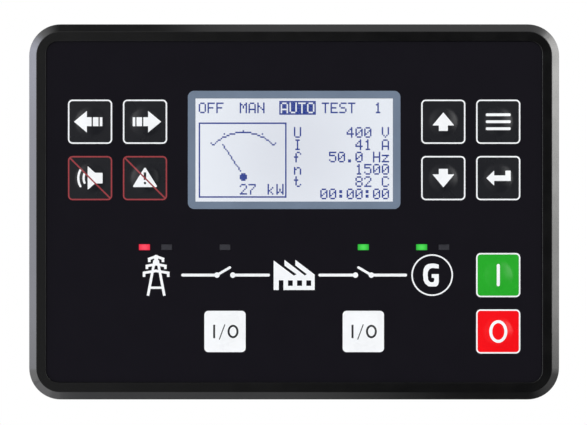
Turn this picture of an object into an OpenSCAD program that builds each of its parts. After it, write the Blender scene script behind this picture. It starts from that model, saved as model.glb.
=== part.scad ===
// Panel-mounted controller for a standby generator set, with its front facing -Y and +Z up.
// The origin is the centre of the panel cut-out, on the plane where the gasket meets the panel.

/* [Front bezel] */
// Width of the front bezel
front_w = 185; // [180:1:195]
// Height of the front bezel
front_h = 131; // [128:1:140]
// Radius of the bezel's outer corners
front_r = 11; // [9:0.5:14]
// Width, and depth, of the bevel round the bezel's front edge
bevel = 2.7; // [2:0.1:3.2]
// Height of the bezel's front rim in front of its flange
rim_rise = 8.8; // [8.4:0.1:10]
// Width of the front rim outside the overlay's recess, bevel included
rim_w = 5.85; // [5:0.05:6.5]
// Depth of the recess that holds the overlay
recess_depth = 0.85; // [0.6:0.05:1.1]
// Width of the sloped wall of that recess
recess_slope = 0.35; // [0.2:0.05:0.5]
// Radius of the recess's corners at the overlay
recess_r = 3; // [2:0.5:4]
// Thickness of the web behind the overlay
web_t = 2; // [1.6:0.1:2.6]

/* [Overlay film] */
// Thickness of the overlay film
film_t = 0.25; // [0.2:0.05:0.3]
// Diameter of each embossed dome
dome_d = 10; // [8:0.5:11]
// Height of each embossed dome
dome_h = 0.6; // [0.4:0.05:0.8]
// Thickness of a printed layer
ink_t = 0.12; // [0.1:0.01:0.15]

/* [Keys] */
// Side of a framed key
key_size = 15.4; // [14:0.1:17]
// Corner radius of a key
key_r = 1.8; // [1:0.1:2.5]
// Width of the line round a key
key_line = 0.5; // [0.4:0.01:1]
// Side of a white key
white_key_size = 14.4; // [13:0.1:16]
// Distance between key columns, as a share of the front's width
key_pitch_x_share = 0.1035; // [0.098:0.0001:0.108]
// Distance between key rows, as a share of the front's height
key_pitch_z_share = 0.15; // [0.138:0.001:0.153]
// Distance from the middle to each pair of key columns, as a share of the front's width
key_block_share = 0.3327; // [0.324:0.0001:0.34]
// Height of the display and of the upper rows of keys, as a share of the front's height
upper_share = 0.1649; // [0.155:0.0001:0.175]
// Depth of the lower rows of keys under the middle, as a share of the front's height
lower_share = 0.2431; // [0.237:0.0001:0.252]
// Distance from the middle to each white key, as a share of the front's width
white_key_share = 0.1303; // [0.114:0.0001:0.146]
// Diameter of a push button's head
button_d = 8.4; // [7:0.1:9]
// How far a push button travels
button_travel = 0.4; // [0.2:0.05:0.5]

/* [Display] */
// Width of the display window, as a share of the front's width
window_w_share = 0.4005; // [0.39:0.0005:0.42]
// Height of the display window, as a share of the front's height
window_h_share = 0.3145; // [0.3:0.0005:0.328]
// Corner radius of the display window
window_r = 2.2; // [1:0.1:3]
// Width of the printed border round the lit area of the display
border_w = 2.6; // [2.3:0.1:3.5]
// Thickness of the liquid crystal cell
cell_t = 2.8; // [2:0.1:3.5]

/* [Status lights] */
// Width of a status light
light_w = 3.7; // [3:0.1:4.5]
// Height of a status light
light_h = 1.9; // [1.6:0.1:2.8]
// Depth of the row of status lights under the middle, as a share of the front's height
light_drop_share = 0.0939; // [0.092:0.0001:0.099]
// Distance from the middle to each pair's inner light, as a share of the front's width
pair_inner_share = 0.2403; // [0.233:0.0001:0.248]
// Distance from the middle to each pair's outer light, as a share of the front's width
pair_outer_share = 0.2822; // [0.277:0.0001:0.291]

/* [Housing] */
// How far the rear housing lies inside the edge of the front bezel
housing_inset = 6; // [5.5:0.25:7]
// Corner radius of the rear housing
housing_r = 5; // [4:0.5:7]
// Depth of the rear housing behind the panel's face
housing_depth = 36; // [35:0.5:40]
// Wall thickness of the rear housing
wall = 2.2; // [1.8:0.1:2.6]
// Diameter of the housing screws
screw_d = 3; // [2.5:0.1:3.2]

/* [Gasket] */
// Width of the gasket
gasket_w = 3.4; // [2.5:0.1:3.6]
// Depth of the gasket's channel in the flange
channel_depth = 2.5; // [1.5:0.1:3]
// How far the gasket stands out of the flange
gasket_proud = 0.8; // [0.4:0.1:1.2]

/* [Circuit boards] */
// Thickness of the circuit boards
board_t = 1.6; // [1.2:0.1:2]
// Length of the stand-offs between the web and the display board
front_standoff = 9.15; // [8.5:0.05:10]
// Length of the posts between the main board and the rear wall
rear_standoff = 9.8; // [9:0.1:10.5]

/* [Terminals] */
// Distance between terminal poles
pole_pitch = 5.08; // [4.9:0.01:5.1]
// Length of a plug's block behind the housing
block_l = 13.7; // [12:0.1:15]
// Height of a plug's block
block_h = 12; // [11:0.1:13]
// Length of a plug's nose
nose_l = 9.4; // [8.8:0.1:9.5]
// Height of a plug's nose
nose_h = 6.2; // [5.8:0.1:6.6]
// Distance from the middle to each row of terminals, as a share of the front's height
terminal_share = 0.3588; // [0.344:0.0002:0.362]
// How far a plug pulls out
plug_travel = 12; // [10:0.5:15]

/* [Hidden] */
$fn = 48;
cut = 1;
film_gap = 0.15;

// Depths along Y, from the front towards the rear
flange_y = -gasket_proud;
rim_y = flange_y - rim_rise;
recess_y = rim_y + recess_depth;
film_y = recess_y - film_t;
web_y = recess_y + web_t;
slope_run = recess_slope * (recess_depth + cut) / recess_depth;
board_y = web_y + front_standoff;
board_back_y = board_y + board_t;
rear_inner_y = housing_depth - wall;
main_back_y = rear_inner_y - rear_standoff;
main_y = main_back_y - board_t;

// Front bezel and the film that fills its recess
film_w = front_w - 2 * (rim_w + recess_slope);
film_h = front_h - 2 * (rim_w + recess_slope);
housing_w = front_w - 2 * housing_inset;
housing_h = front_h - 2 * housing_inset;
housing_in_w = housing_w - 2 * wall;
housing_in_h = housing_h - 2 * wall;
housing_in_r = housing_r - wall;
lip_t = 1.4;
lip_l = 2;
lip_gap = 0.1;
lip_w = housing_in_w - 2 * lip_gap;
lip_h = housing_in_h - 2 * lip_gap;
cavity_w = lip_w - 2 * lip_t;
cavity_h = lip_h - 2 * lip_t;
cavity_r = 1.4;

// Gasket, centred between the housing and the bezel's edge
gasket_mid_w = (front_w + housing_w) / 2;
gasket_mid_h = (front_h + housing_h) / 2;
gasket_mid_r = (front_r + housing_r) / 2;

// Domes: a spherical cap of the given width and height
dome_r = (dome_d * dome_d / 4 + dome_h * dome_h) / (2 * dome_h);
dome_y = film_y - dome_h + dome_r;

// Keys: name of the symbol, its place, and how the key is printed
right_x = key_block_share * front_w;
left_x = -right_x;
white_x = white_key_share * front_w;
half_x = key_pitch_x_share * front_w / 2;
half_z = key_pitch_z_share * front_h / 2;
start_x = right_x + half_x;
display_z = upper_share * front_h;
mimic_z = half_z - lower_share * front_h;
white_row_z = -half_z - lower_share * front_h;
KEYS = [
    ["left", left_x - half_x, display_z + half_z, "white frame"],
    ["right", left_x + half_x, display_z + half_z, "white frame"],
    ["horn", left_x - half_x, display_z - half_z, "red frame"],
    ["alarm", left_x + half_x, display_z - half_z, "red frame"],
    ["up", right_x - half_x, display_z + half_z, "white frame"],
    ["menu", right_x + half_x, display_z + half_z, "white frame"],
    ["down", right_x - half_x, display_z - half_z, "white frame"],
    ["enter", right_x + half_x, display_z - half_z, "white frame"],
    ["start", start_x, mimic_z, "green field"],
    ["stop", start_x, white_row_z, "red field"],
    ["mains", -white_x, white_row_z, "white field"],
    ["generator", white_x, white_row_z, "white field"]
];

// Symbols, as shares of a key's size, of a white key's size or of the ring's radius
arrow_half_share = 0.113;
arrow_shares = [[-0.36, 0], [-0.074, -0.25], [-0.074, -0.113], [0.03, -0.113], [0.03, 0.113],
                [-0.074, 0.113], [-0.074, 0.25]];
arrow_block_shares = [[0.059, 0.192], [0.21, 0.276]];
horn_shares = [[-0.05, 0.267], [-0.05, -0.261], [0.1155, -0.12], [0.293, -0.12], [0.293, 0.12],
               [0.1155, 0.12]];
wave_shares = [0.25, 0.135];
wave_line_share = 0.045;
wave_centre_share = -0.03;
wave_cos_share = 0.67;
alarm_shares = [[0, 0.235], [-0.27, -0.213], [0.27, -0.213]];
alarm_bar_share = 0.056;
alarm_bar_low_share = -0.024;
alarm_bar_rise_share = 0.146;
alarm_dot_share = -0.121;
up_shares = [[0, 0.217], [-0.244, -0.087], [-0.106, -0.087], [-0.106, -0.211], [0.106, -0.211],
             [0.106, -0.087], [0.244, -0.087]];
enter_shares = [[-0.269, 0], [-0.079, -0.17], [-0.079, -0.07], [0.296, -0.07], [0.296, 0.175],
                [0.151, 0.175], [0.151, 0.07], [-0.079, 0.07], [-0.079, 0.17]];
menu_w_share = 0.573;
menu_bar_share = 0.077;
menu_pitch_share = 0.157;
slash_reach_share = 0.43;
slash_line_share = 0.028;
on_mark_share = 0.067;
on_mark_rise_share = 0.487;
off_mark_share = 0.397;
off_mark_rise_share = 0.502;
on_off_share = 0.262;
on_off_line_share = 0.05;
on_off_rise_share = 0.325;
on_off_slash_shares = [[-0.138, -0.195], [0.01, 0.195]];
on_off_slash_line_share = 0.025;
on_off_ring_share = 0.195;
on_off_ring_w_share = 0.265;
pylon_shares = [
    [0.295, 0, 0.054, 0.864], [-0.05, 0.97, 0.29, 0.889], [0.245, 0.92, 0.245, 0.82],
    [-0.05, 0.775, 0.375, 0.721], [0.33, 0.745, 0.33, 0.65], [-0.05, 0.611, 0.478, 0.554],
    [0.433, 0.58, 0.433, 0.46]
];
pylon_bar_share = 0.235;
pylon_bar_rise_share = 0.209;
mast_low_share = 0.74;
mast_top_share = 0.985;
mast_share = 1.5;
factory_shares = [
    [0, 0], [1, 0], [1, 0.513], [0.529, 1], [0.529, 0.818], [0.808, 0.526], [0.76, 0.494],
    [0.264, 1], [0.264, 0.81], [0.558, 0.52], [0.49, 0.494], [0, 0.98]
];
factory_hole_shares = [
    [0.135, -0.1, 0.231, 0.318], [0.356, 0.156, 0.457, 0.312], [0.582, 0.156, 0.687, 0.312],
    [0.8, 0.156, 0.909, 0.312]
];
letter_shares = [
    [0.333, 0.525], [0, 0.583], [-0.2, 0.558], [-0.35, 0.458], [-0.433, 0.292], [-0.458, 0.025],
    [-0.433, -0.258], [-0.367, -0.408], [-0.2, -0.558], [-0.05, -0.575], [0.2, -0.575],
    [0.3, -0.492], [0.333, -0.342], [0.333, 0.05], [-0.025, 0.05], [-0.025, -0.133],
    [0.1, -0.142], [0.108, -0.242], [0.075, -0.342], [-0.017, -0.367], [-0.117, -0.342],
    [-0.2, -0.242], [-0.225, -0.008], [-0.217, 0.158], [-0.133, 0.308], [-0.017, 0.358],
    [0.333, 0.333]
];

// Buttons and the switches under them
button_gap = 0.3;
button_hole_d = button_d + 2 * button_gap;
dome_gap = 0.15;
head_r = dome_r - film_t - dome_gap;
collar_d = 10.6;
collar_t = 0.8;
collar_gap = 0.1;
stem_d = 3.5;
switch_size = 6;
switch_t = 3.5;
switch_bore_depth = 2.4;
stem_in = 1.6;
lead_w = 0.7;
lead_t = 0.3;
lead_reach = 1;
lead_pitch = 4.5;

// Display, from the lens in front to the light guide behind
pane_w = window_w_share * front_w;
pane_h = window_h_share * front_h;
lit_w = pane_w - 2 * border_w;
lit_h = pane_h - 2 * border_w;
lens_ledge = 1.8;
ledge_y = recess_y + 1;
lens_gap = 0.1;
frame_wall = 0.5;
cell_margin = 4.5;
cell_w = lit_w + 2 * cell_margin;
cell_h = lit_h + 2 * cell_margin;
cell_y = web_y + frame_wall;
guide_y = cell_y + cell_t;
tab_w = 3;
tab_t = 0.5;
tab_x_share = 0.3;

// Status lights: place, and the colour that each shows
lights_z = -light_drop_share * front_h;
inner_light_x = pair_inner_share * front_w;
outer_light_x = pair_outer_share * front_w;
light_gap = 0.1;
light_flange = 0.9;
light_flange_t = 0.8;
light_stem_share = 0.8;
LIGHTS = [
    ["red", -outer_light_x],
    ["unlit", -inner_light_x],
    ["unlit", -white_x],
    ["green", white_x],
    ["green", inner_light_x],
    ["unlit", outer_light_x]
];
led_w = 2.8;
led_h = 1.6;
led_t = 1;

// Printed mimic diagram
mimic_line = 1;
blade_line = 0.85;
dot_r = 0.95;
ring_gap = 2;
factory_gap = 1.7;
contact_out = 2.75;
pivot_out = 2.8;
blade_back = 4.5;
blade_tip_rise = 2.65;
ring_r = 7.25;
ring_line = 0.5;
letter_share = 0.955;
factory_w = 14.3;
factory_h = 10.5;
factory_x = -7.25;
factory_drop = 5.2;
pylon_w = 9.7;
pylon_h = 14.3;
pylon_drop = 7.2;
pylon_line = 0.9;
ring_x_share = 0.26;
ring_x = ring_x_share * front_w;
mimic_inner_x = factory_gap - factory_x;
mimic_outer_x = ring_x - ring_r - ring_gap;
mimic_contact_x = white_x - contact_out;
mimic_pivot_x = white_x + pivot_out;
blade_tip_x = mimic_pivot_x - blade_back;

// Circuit boards, and the screws that clamp the front stack together
board_gap = 1.3;
display_board_w = housing_in_w - 2 * board_gap;
display_board_h = housing_in_h - 2 * board_gap;
display_board_r = 2;
screw_inset = 4.6;
screw_x = housing_in_w / 2 - screw_inset;
screw_z = housing_in_h / 2 - screw_inset;
tube_d = 8;
rib_t = 2;
screw_hole_gap = 0.2;
thread_gap = 0.05;
head_d = 5.6;
head_h = 2.4;
counterbore_d = 6.4;
counterbore_depth = 5;
screw_bite = 5.5;
screw_hole_spare = 1;
recess_cross = 2.6;
recess_cross_t = 0.6;
recess_cross_depth = 1.3;
main_board_gap = 0.7;
main_board_w = 2 * (screw_x - tube_d / 2 - main_board_gap);
main_board_h = housing_in_h - 2 * (board_gap + 1);
main_board_r = 1.5;
post_inset_x = 4;
post_inset_z = 19;
post_x = main_board_w / 2 - post_inset_x;
post_z = main_board_h / 2 - post_inset_z;
board_space = main_y - board_back_y;
post_d = 6;
post_screw_d = 2.5;
post_screw_bite = 6;
post_head_d = 4.6;
post_head_h = 1.8;

// Terminals: poles of each plug, from left to right as seen from the front
TOP_POLES = [10, 12];
BOTTOM_POLES = [8, 6, 8];
plug_gap_x = 6;
shroud_t = 1;
shroud_floor = 2.5;
shroud_gap = 0.2;
shroud_in_h = nose_h + 2 * shroud_gap;
shroud_out_h = shroud_in_h + 2 * shroud_t;
pin_t = 1;
pin_tip_share = 0.75;
contact_hole = 1.5;
contact_depth = 8;
block_gap = 0.3;
row_z = terminal_share * front_h;
plug_y = housing_depth + block_gap;
block_rise = 1;
block_chamfer = 1.6;
wire_hole_w = 3.4;
wire_hole_h = 3.6;
wire_hole_depth = 9;
wire_hole_drop = 1;
pole_screw_d = 3.6;
pole_screw_gap = 0.05;
pole_screw_sink = 0.7;
pole_screw_y_share = 0.5;
pole_slot_t = 0.6;
pole_slot_depth = 0.8;
groove_w = 0.5;
groove_depth = 0.5;
nose_step = 0.3;

// Openings of the rear housing
opening_gap = 0.4;
rib_l = screw_inset + wall / 2;
vent_w = 2;
vent_h = 22;
vent_pitch = 5;
vent_count = 11;
vent_x_share = -0.083;
vent_x = vent_x_share * housing_in_w;
vent_round_share = 0.8;
slot_w = 12;
slot_l = 6;
slot_y = 10;
slot_x_share = 0.34;

// USB socket on the main board
usb_x_share = 0.267;
usb_x = usb_x_share * housing_in_w;
usb_w = 12;
usb_h = 11;
usb_in_w = 8.45;
usb_in_h = 7.78;
usb_corner = 1.6;
usb_floor = 2.5;
usb_proud = 0.3;
tongue_w = 5.6;
tongue_h = 3.2;
tongue_short = 1.4;

// Parts on the boards
link_poles = 10;
link_pitch = 2.54;
link_w = 2 * link_pitch;
link_base = 2.5;
link_pin_t = 0.64;
link_pin_l = 6;
link_hole = 0.9;
link_shares = [-0.119, -0.122];
link_x = link_shares[0] * housing_in_w;
link_z = link_shares[1] * housing_in_h;
link_gap = 0.2;
chip_size = 14;
chip_t = 1.4;
chip_shares = [0.071, 0.052];
chip_x = chip_shares[0] * housing_in_w;
chip_z = chip_shares[1] * housing_in_h;
chip_pin_count = 16;
chip_pin_pitch = 0.8;
chip_pin_w = 0.35;
chip_pin_l = 1.2;
chip_pin_t = 0.6;
cell_holder_w = 16;
coin_d = 12.5;
coin_t = 2.5;
holder_floor = 0.8;
coin_shares = [0.249, 0.052];
coin_x = coin_shares[0] * housing_in_w;
coin_z = coin_shares[1] * housing_in_h;
capacitor_d = 10;
capacitor_l_share = 0.68;
capacitor_l = capacitor_l_share * board_space;
capacitor_pitch = 13;
capacitor_count = 3;
capacitor_shares = [-0.332, 0.1745];
capacitor_x = capacitor_shares[0] * housing_in_w;
capacitor_z = capacitor_shares[1] * housing_in_h;
capacitor_groove = 0.5;
capacitor_groove_l = 1.2;
capacitor_collar = 3;
transformer_w = 12;
transformer_h = 12;
transformer_l_share = 0.706;
transformer_l = transformer_l_share * board_space;
transformer_hole = 4.5;
transformer_pitch = 15;
transformer_count = 3;
transformer_shares = [0.1305, -0.227];
transformer_x = transformer_shares[0] * housing_in_w;
transformer_z = transformer_shares[1] * housing_in_h;

// Plain helpers

// A flat outline drawn in X and Z, made solid from one depth to another
module slab(y_front, y_back) {
    translate([0, y_back, 0])
        rotate([90, 0, 0])
            linear_extrude(y_back - y_front)
                children();
}

module rounded(w, h, r) {
    square([w - 2 * r, h], center = true);
    square([w, h - 2 * r], center = true);
    for (sx = [-1, 1], sz = [-1, 1])
        translate([sx * (w / 2 - r), sz * (h / 2 - r)])
            circle(r);
}

// A rounded slab whose edge slopes evenly from one outline to a smaller or larger one
module sloped_slab(w, h, r, y_front, y_back, inset) {
    depth = y_back - y_front;
    across = w / 2 - inset;
    up = h / 2 - inset;
    translate([0, 0, r - h / 2])
        linear_extrude(h - 2 * r)
            polygon([[-w / 2, y_back], [w / 2, y_back], [across, y_front], [-across, y_front]]);
    translate([r - w / 2, 0, 0])
        rotate([90, 0, 90])
            linear_extrude(w - 2 * r)
                polygon([[y_back, -h / 2], [y_back, h / 2], [y_front, up], [y_front, -up]]);
    for (sx = [-1, 1], sz = [-1, 1])
        translate([sx * (w / 2 - r), y_back, sz * (h / 2 - r)])
            rotate([90, 0, 0])
                cylinder(h = depth, r1 = r, r2 = r - inset);
}

module rod(d, y_front, y_back) {
    translate([0, y_back, 0])
        rotate([90, 0, 0])
            cylinder(h = y_back - y_front, d = d);
}

module at(x, z) {
    translate([x, 0, z])
        children();
}

module at_corners(x, z) {
    for (sx = [-1, 1], sz = [-1, 1])
        at(sx * x, sz * z)
            children();
}

// A line with square ends
module plain_stroke(a, b, width) {
    run = b - a;
    translate(a)
        rotate(atan2(run[1], run[0]))
            translate([0, -width / 2])
                square([norm(run), width]);
}

function ellipse_points(w, h, count = 40) =
    [for (i = [0:count - 1]) [w / 2 * cos(360 * i / count), h / 2 * sin(360 * i / count)]];

module oval_ring(w, h, line) {
    difference() {
        polygon(ellipse_points(w, h));
        polygon(ellipse_points(w - 2 * line, h - 2 * line));
    }
}

// Front bezel

module screw_boss() {
    rod(tube_d, web_y - web_t / 2, board_y);
}

module gasket_ring(extra) {
    difference() {
        rounded(gasket_mid_w + gasket_w + extra, gasket_mid_h + gasket_w + extra,
                gasket_mid_r + (gasket_w + extra) / 2);
        rounded(gasket_mid_w - gasket_w - extra, gasket_mid_h - gasket_w - extra,
                gasket_mid_r - (gasket_w + extra) / 2);
    }
}

module front_bezel() {
    color("#1a1a1d")
        difference() {
            union() {
                slab(rim_y + bevel, flange_y)
                    rounded(front_w, front_h, front_r);
                sloped_slab(front_w, front_h, front_r, rim_y, rim_y + bevel, bevel);
                slab(flange_y - cut, flange_y + lip_l)
                    rounded(lip_w, lip_h, cavity_r + lip_t);
            }
            sloped_slab(film_w, film_h, recess_r, rim_y - cut, recess_y, -slope_run);
            slab(recess_y - cut, web_y)
                rounded(film_w, film_h, recess_r);
            slab(web_y - cut, flange_y + lip_l + cut)
                rounded(cavity_w, cavity_h, cavity_r);
            slab(flange_y - channel_depth, flange_y + cut)
                gasket_ring(2 * lens_gap);
            at_corners(screw_x, screw_z)
                rod(tube_d + 2 * lens_gap, web_y - cut, flange_y + lip_l + cut);
        }
}

// The plate under the film rests on the ledge inside the bezel
module front_plate() {
    color("#1a1a1d")
        difference() {
            union() {
                slab(recess_y, web_y)
                    rounded(film_w - 2 * lens_gap, film_h - 2 * lens_gap, recess_r - lens_gap);
                at_corners(screw_x, screw_z)
                    screw_boss();
            }
            for (key = KEYS)
                at(key[1], key[2])
                    rod(button_hole_d, recess_y - cut, web_y + cut);
            for (light = LIGHTS)
                at(light[1], lights_z)
                    slab(recess_y - cut, web_y + cut)
                        light_outline(light_gap);
            at(0, display_z) {
                slab(recess_y - cut, ledge_y)
                    rounded(pane_w + 2 * lens_gap, pane_h + 2 * lens_gap, window_r + lens_gap);
                slab(recess_y - cut, web_y + cut)
                    rounded(pane_w - 2 * lens_ledge, pane_h - 2 * lens_ledge, window_r / 2);
            }
            at_corners(screw_x, screw_z)
                rod(screw_d + 2 * thread_gap, board_y - screw_bite - screw_hole_spare, board_y + cut);
        }
}

module panel_gasket() {
    color("#303234")
        slab(flange_y - channel_depth, 0)
            gasket_ring(0);
}

// Overlay film and its prints

// The part of a dome's sphere in front of the given depth
module dome_cap(radius, y_back) {
    intersection() {
        translate([0, dome_y, 0])
            sphere(radius);
        rod(dome_d + 2 * cut, film_y - dome_h - cut, y_back);
    }
}

module overlay_film() {
    color("#17161d")
        difference() {
            union() {
                slab(film_y, recess_y)
                    rounded(film_w - 2 * film_gap, film_h - 2 * film_gap, recess_r - film_gap);
                for (key = KEYS)
                    at(key[1], key[2])
                        dome_cap(dome_r, film_y + film_t / 2);
            }
            for (key = KEYS)
                at(key[1], key[2])
                    dome_cap(dome_r - film_t, recess_y + cut);
            at(0, display_z)
                slab(film_y - cut, recess_y + cut)
                    rounded(pane_w + 2 * lens_gap, pane_h + 2 * lens_gap, window_r + lens_gap);
            for (light = LIGHTS)
                at(light[1], lights_z)
                    slab(film_y - cut, recess_y + cut)
                        light_outline(light_gap);
        }
}

// A printed outline on the flat of the film
module flat_ink() {
    slab(film_y - ink_t, film_y)
        children();
}

// A printed outline that follows a dome and the flat round it
module domed_ink() {
    difference() {
        intersection() {
            slab(film_y - dome_h - ink_t - cut, film_y)
                children();
            union() {
                slab(film_y - ink_t, film_y + cut)
                    square(key_size, center = true);
                dome_cap(dome_r + ink_t, film_y + cut);
            }
        }
        dome_cap(dome_r, film_y + 2 * cut);
    }
}

// Symbols, in shares of a key's size, from the key's centre
function scaled(points, size) = [for (p = points) size * p];

module arrow_icon() {
    polygon(scaled(arrow_shares, key_size));
    for (block = arrow_block_shares)
        translate([key_size * block[0], -key_size * arrow_half_share])
            square([key_size * (block[1] - block[0]), 2 * key_size * arrow_half_share]);
}

module horn_icon() {
    polygon(scaled(horn_shares, key_size));
    for (wave = wave_shares)
        difference() {
            translate([key_size * wave_centre_share, 0])
                circle(key_size * (wave + wave_line_share / 2));
            translate([key_size * wave_centre_share, 0])
                circle(key_size * (wave - wave_line_share / 2));
            translate([key_size * (wave_centre_share - wave * wave_cos_share), -key_size])
                square(2 * key_size);
        }
}

module alarm_icon() {
    difference() {
        polygon(scaled(alarm_shares, key_size));
        translate([-key_size * alarm_bar_share / 2, key_size * alarm_bar_low_share])
            square([key_size * alarm_bar_share, key_size * alarm_bar_rise_share]);
        translate([0, key_size * alarm_dot_share])
            circle(key_size * alarm_bar_share / 2, $fn = 24);
    }
}

module menu_icon() {
    for (i = [-1:1])
        translate([0, i * key_size * menu_pitch_share])
            square([key_size * menu_w_share, key_size * menu_bar_share], center = true);
}

module red_slash() {
    reach = key_size * slash_reach_share;
    plain_stroke([-reach, reach], [reach, -reach], key_size * slash_line_share);
}

module key_frame() {
    difference() {
        rounded(key_size, key_size, key_r);
        rounded(key_size - 2 * key_line, key_size - 2 * key_line, key_r - key_line);
    }
}

module key_field() {
    rounded(key_size - 2 * key_line, key_size - 2 * key_line, key_r - key_line);
}

module on_mark() {
    square([key_size * on_mark_share, key_size * on_mark_rise_share], center = true);
}

module off_mark() {
    oval_ring(key_size * off_mark_share, key_size * off_mark_rise_share, key_size * on_mark_share);
}

module on_off_mark() {
    size = white_key_size;
    translate([-size * on_off_share, 0])
        square([size * on_off_line_share, size * on_off_rise_share], center = true);
    plain_stroke(size * on_off_slash_shares[0], size * on_off_slash_shares[1],
                 size * on_off_slash_line_share);
    translate([size * on_off_ring_share, 0])
        oval_ring(size * on_off_ring_w_share, size * on_off_rise_share, size * on_off_line_share);
}

module key_symbol(name) {
    if (name == "left")
        arrow_icon();
    if (name == "right")
        mirror([1, 0])
            arrow_icon();
    if (name == "horn")
        horn_icon();
    if (name == "alarm")
        alarm_icon();
    if (name == "up")
        polygon(scaled(up_shares, key_size));
    if (name == "down")
        mirror([0, 1])
            polygon(scaled(up_shares, key_size));
    if (name == "menu")
        menu_icon();
    if (name == "enter")
        polygon(scaled(enter_shares, key_size));
    if (name == "start")
        on_mark();
    if (name == "stop")
        off_mark();
}

module pylon() {
    for (side = [-1, 1])
        for (line = pylon_shares)
            plain_stroke([side * pylon_w * line[0], pylon_h * line[1] - pylon_drop],
                         [side * pylon_w * line[2], pylon_h * line[3] - pylon_drop], pylon_line);
    translate([-pylon_w * pylon_bar_share, pylon_h * pylon_bar_rise_share - pylon_drop - pylon_line / 2])
        square([2 * pylon_w * pylon_bar_share, pylon_line]);
    translate([-pylon_line * mast_share / 2, pylon_h * mast_low_share - pylon_drop])
        square([pylon_line * mast_share, pylon_h * (mast_top_share - mast_low_share)]);
}

module factory() {
    translate([factory_x, -factory_drop])
        difference() {
            polygon([for (p = factory_shares) [factory_w * p[0], factory_h * p[1]]]);
            for (hole = factory_hole_shares)
                translate([factory_w * hole[0], factory_h * hole[1]])
                    square([factory_w * (hole[2] - hole[0]), factory_h * (hole[3] - hole[1])]);
        }
}

module breaker(side) {
    for (line = [[mimic_outer_x, mimic_pivot_x], [mimic_inner_x, mimic_contact_x]]) {
        plain_stroke([side * line[0], 0], [side * line[1], 0], mimic_line);
        translate([side * line[0], 0])
            circle(d = mimic_line);
        translate([side * line[1], 0])
            circle(dot_r);
    }
    plain_stroke([side * mimic_pivot_x, 0], [side * blade_tip_x, blade_tip_rise], blade_line);
}

module generator_mark() {
    difference() {
        circle(ring_r);
        circle(ring_r - ring_line);
    }
    polygon(scaled(letter_shares, ring_r * letter_share));
}

// The dark or white mark that a coloured field leaves clear
module field_mark(kind, name) {
    if (kind == "white field")
        on_off_mark();
    else
        key_symbol(name);
}

module frames(kinds) {
    for (key = KEYS, kind = kinds)
        if (key[3] == kind)
            at(key[1], key[2])
                flat_ink()
                    key_frame();
}

module field(kind, half) {
    for (key = KEYS)
        if (key[3] == kind)
            at(key[1], key[2])
                domed_ink()
                    difference() {
                        rounded(2 * half, 2 * half, key_r - key_line / 2);
                        field_mark(kind, key[0]);
                    }
}

module marks(kinds) {
    for (key = KEYS, kind = kinds)
        if (key[3] == kind)
            at(key[1], key[2])
                domed_ink()
                    field_mark(kind, key[0]);
}

module print_white() {
    color("#f4f6fa") {
        frames(["white frame", "green field", "red field"]);
        marks(["white frame", "green field", "red field"]);
        field("white field", white_key_size / 2);
        for (key = KEYS)
            if (key[3] == "red frame")
                at(key[1], key[2])
                    domed_ink()
                        difference() {
                            key_symbol(key[0]);
                            red_slash();
                        }
        at(0, mimic_z)
            flat_ink() {
                factory();
                breaker(-1);
                breaker(1);
            }
        at(-ring_x, mimic_z)
            flat_ink()
                pylon();
        at(ring_x, mimic_z)
            flat_ink()
                generator_mark();
    }
}

module print_red() {
    color("#e61a30") {
        frames(["red frame"]);
        for (key = KEYS)
            if (key[3] == "red frame")
                at(key[1], key[2])
                    domed_ink()
                        red_slash();
        field("red field", key_size / 2 - key_line);
    }
}

module print_green() {
    color("#2ca82c")
        field("green field", key_size / 2 - key_line);
}

module print_dark() {
    color("#323234")
        marks(["white field"]);
}

// Display

module window_lens() {
    color("#dfe6f2", 0.35)
        at(0, display_z)
            slab(film_y + ink_t, ledge_y)
                rounded(pane_w, pane_h, window_r);
}

module window_border() {
    color("#7a878e")
        at(0, display_z)
            slab(film_y, film_y + ink_t)
                difference() {
                    rounded(pane_w, pane_h, window_r);
                    square([lit_w, lit_h], center = true);
                }
}

module cell_outline(extra) {
    square([cell_w + 2 * extra, cell_h + 2 * extra], center = true);
}

module at_tabs() {
    for (sx = [-1, 1], sz = [-1, 1])
        at(sx * cell_w * tab_x_share, display_z + sz * (cell_h / 2 + lens_gap + frame_wall / 2))
            children();
}

module display_frame() {
    color("#b9bcc2") {
        difference() {
            at(0, display_z)
                slab(web_y, board_y)
                    cell_outline(lens_gap + frame_wall);
            at(0, display_z)
                slab(cell_y, board_y + cut)
                    cell_outline(lens_gap);
            at(0, display_z)
                slab(web_y - cut, cell_y + cut)
                    square([lit_w, lit_h], center = true);
        }
        at_tabs()
            slab(board_y - cut, board_back_y + tab_t)
                square([tab_w, frame_wall], center = true);
    }
}

module display_cell() {
    color("#dbe3f6")
        at(0, display_z)
            slab(cell_y, guide_y)
                cell_outline(0);
}

module light_guide() {
    color("#f3f4f6")
        at(0, display_z)
            slab(guide_y, board_y)
                cell_outline(0);
}

// Status lights

module light_outline(extra) {
    square([light_w + 2 * extra, light_h + 2 * extra], center = true);
}

module light_pipes(colour) {
    for (light = LIGHTS)
        if (light[0] == colour)
            at(light[1], lights_z) {
                slab(film_y, web_y + light_flange_t)
                    light_outline(0);
                slab(web_y, web_y + light_flange_t)
                    light_outline(light_flange);
                slab(web_y, board_y - led_t - light_gap)
                    square([light_w * light_stem_share, light_h * light_stem_share], center = true);
            }
}

module light_pipe_red() {
    color("#fa3755")
        light_pipes("red");
}

module light_pipes_green() {
    color("#2dcd37")
        light_pipes("green");
}

module light_pipes_unlit() {
    color("#3c3c3f")
        light_pipes("unlit");
}

module status_leds() {
    color("#efe9d2")
        for (light = LIGHTS)
            at(light[1], lights_z)
                slab(board_y - led_t, board_y)
                    square([led_w, led_h], center = true);
}

// Push buttons and their switches

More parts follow.
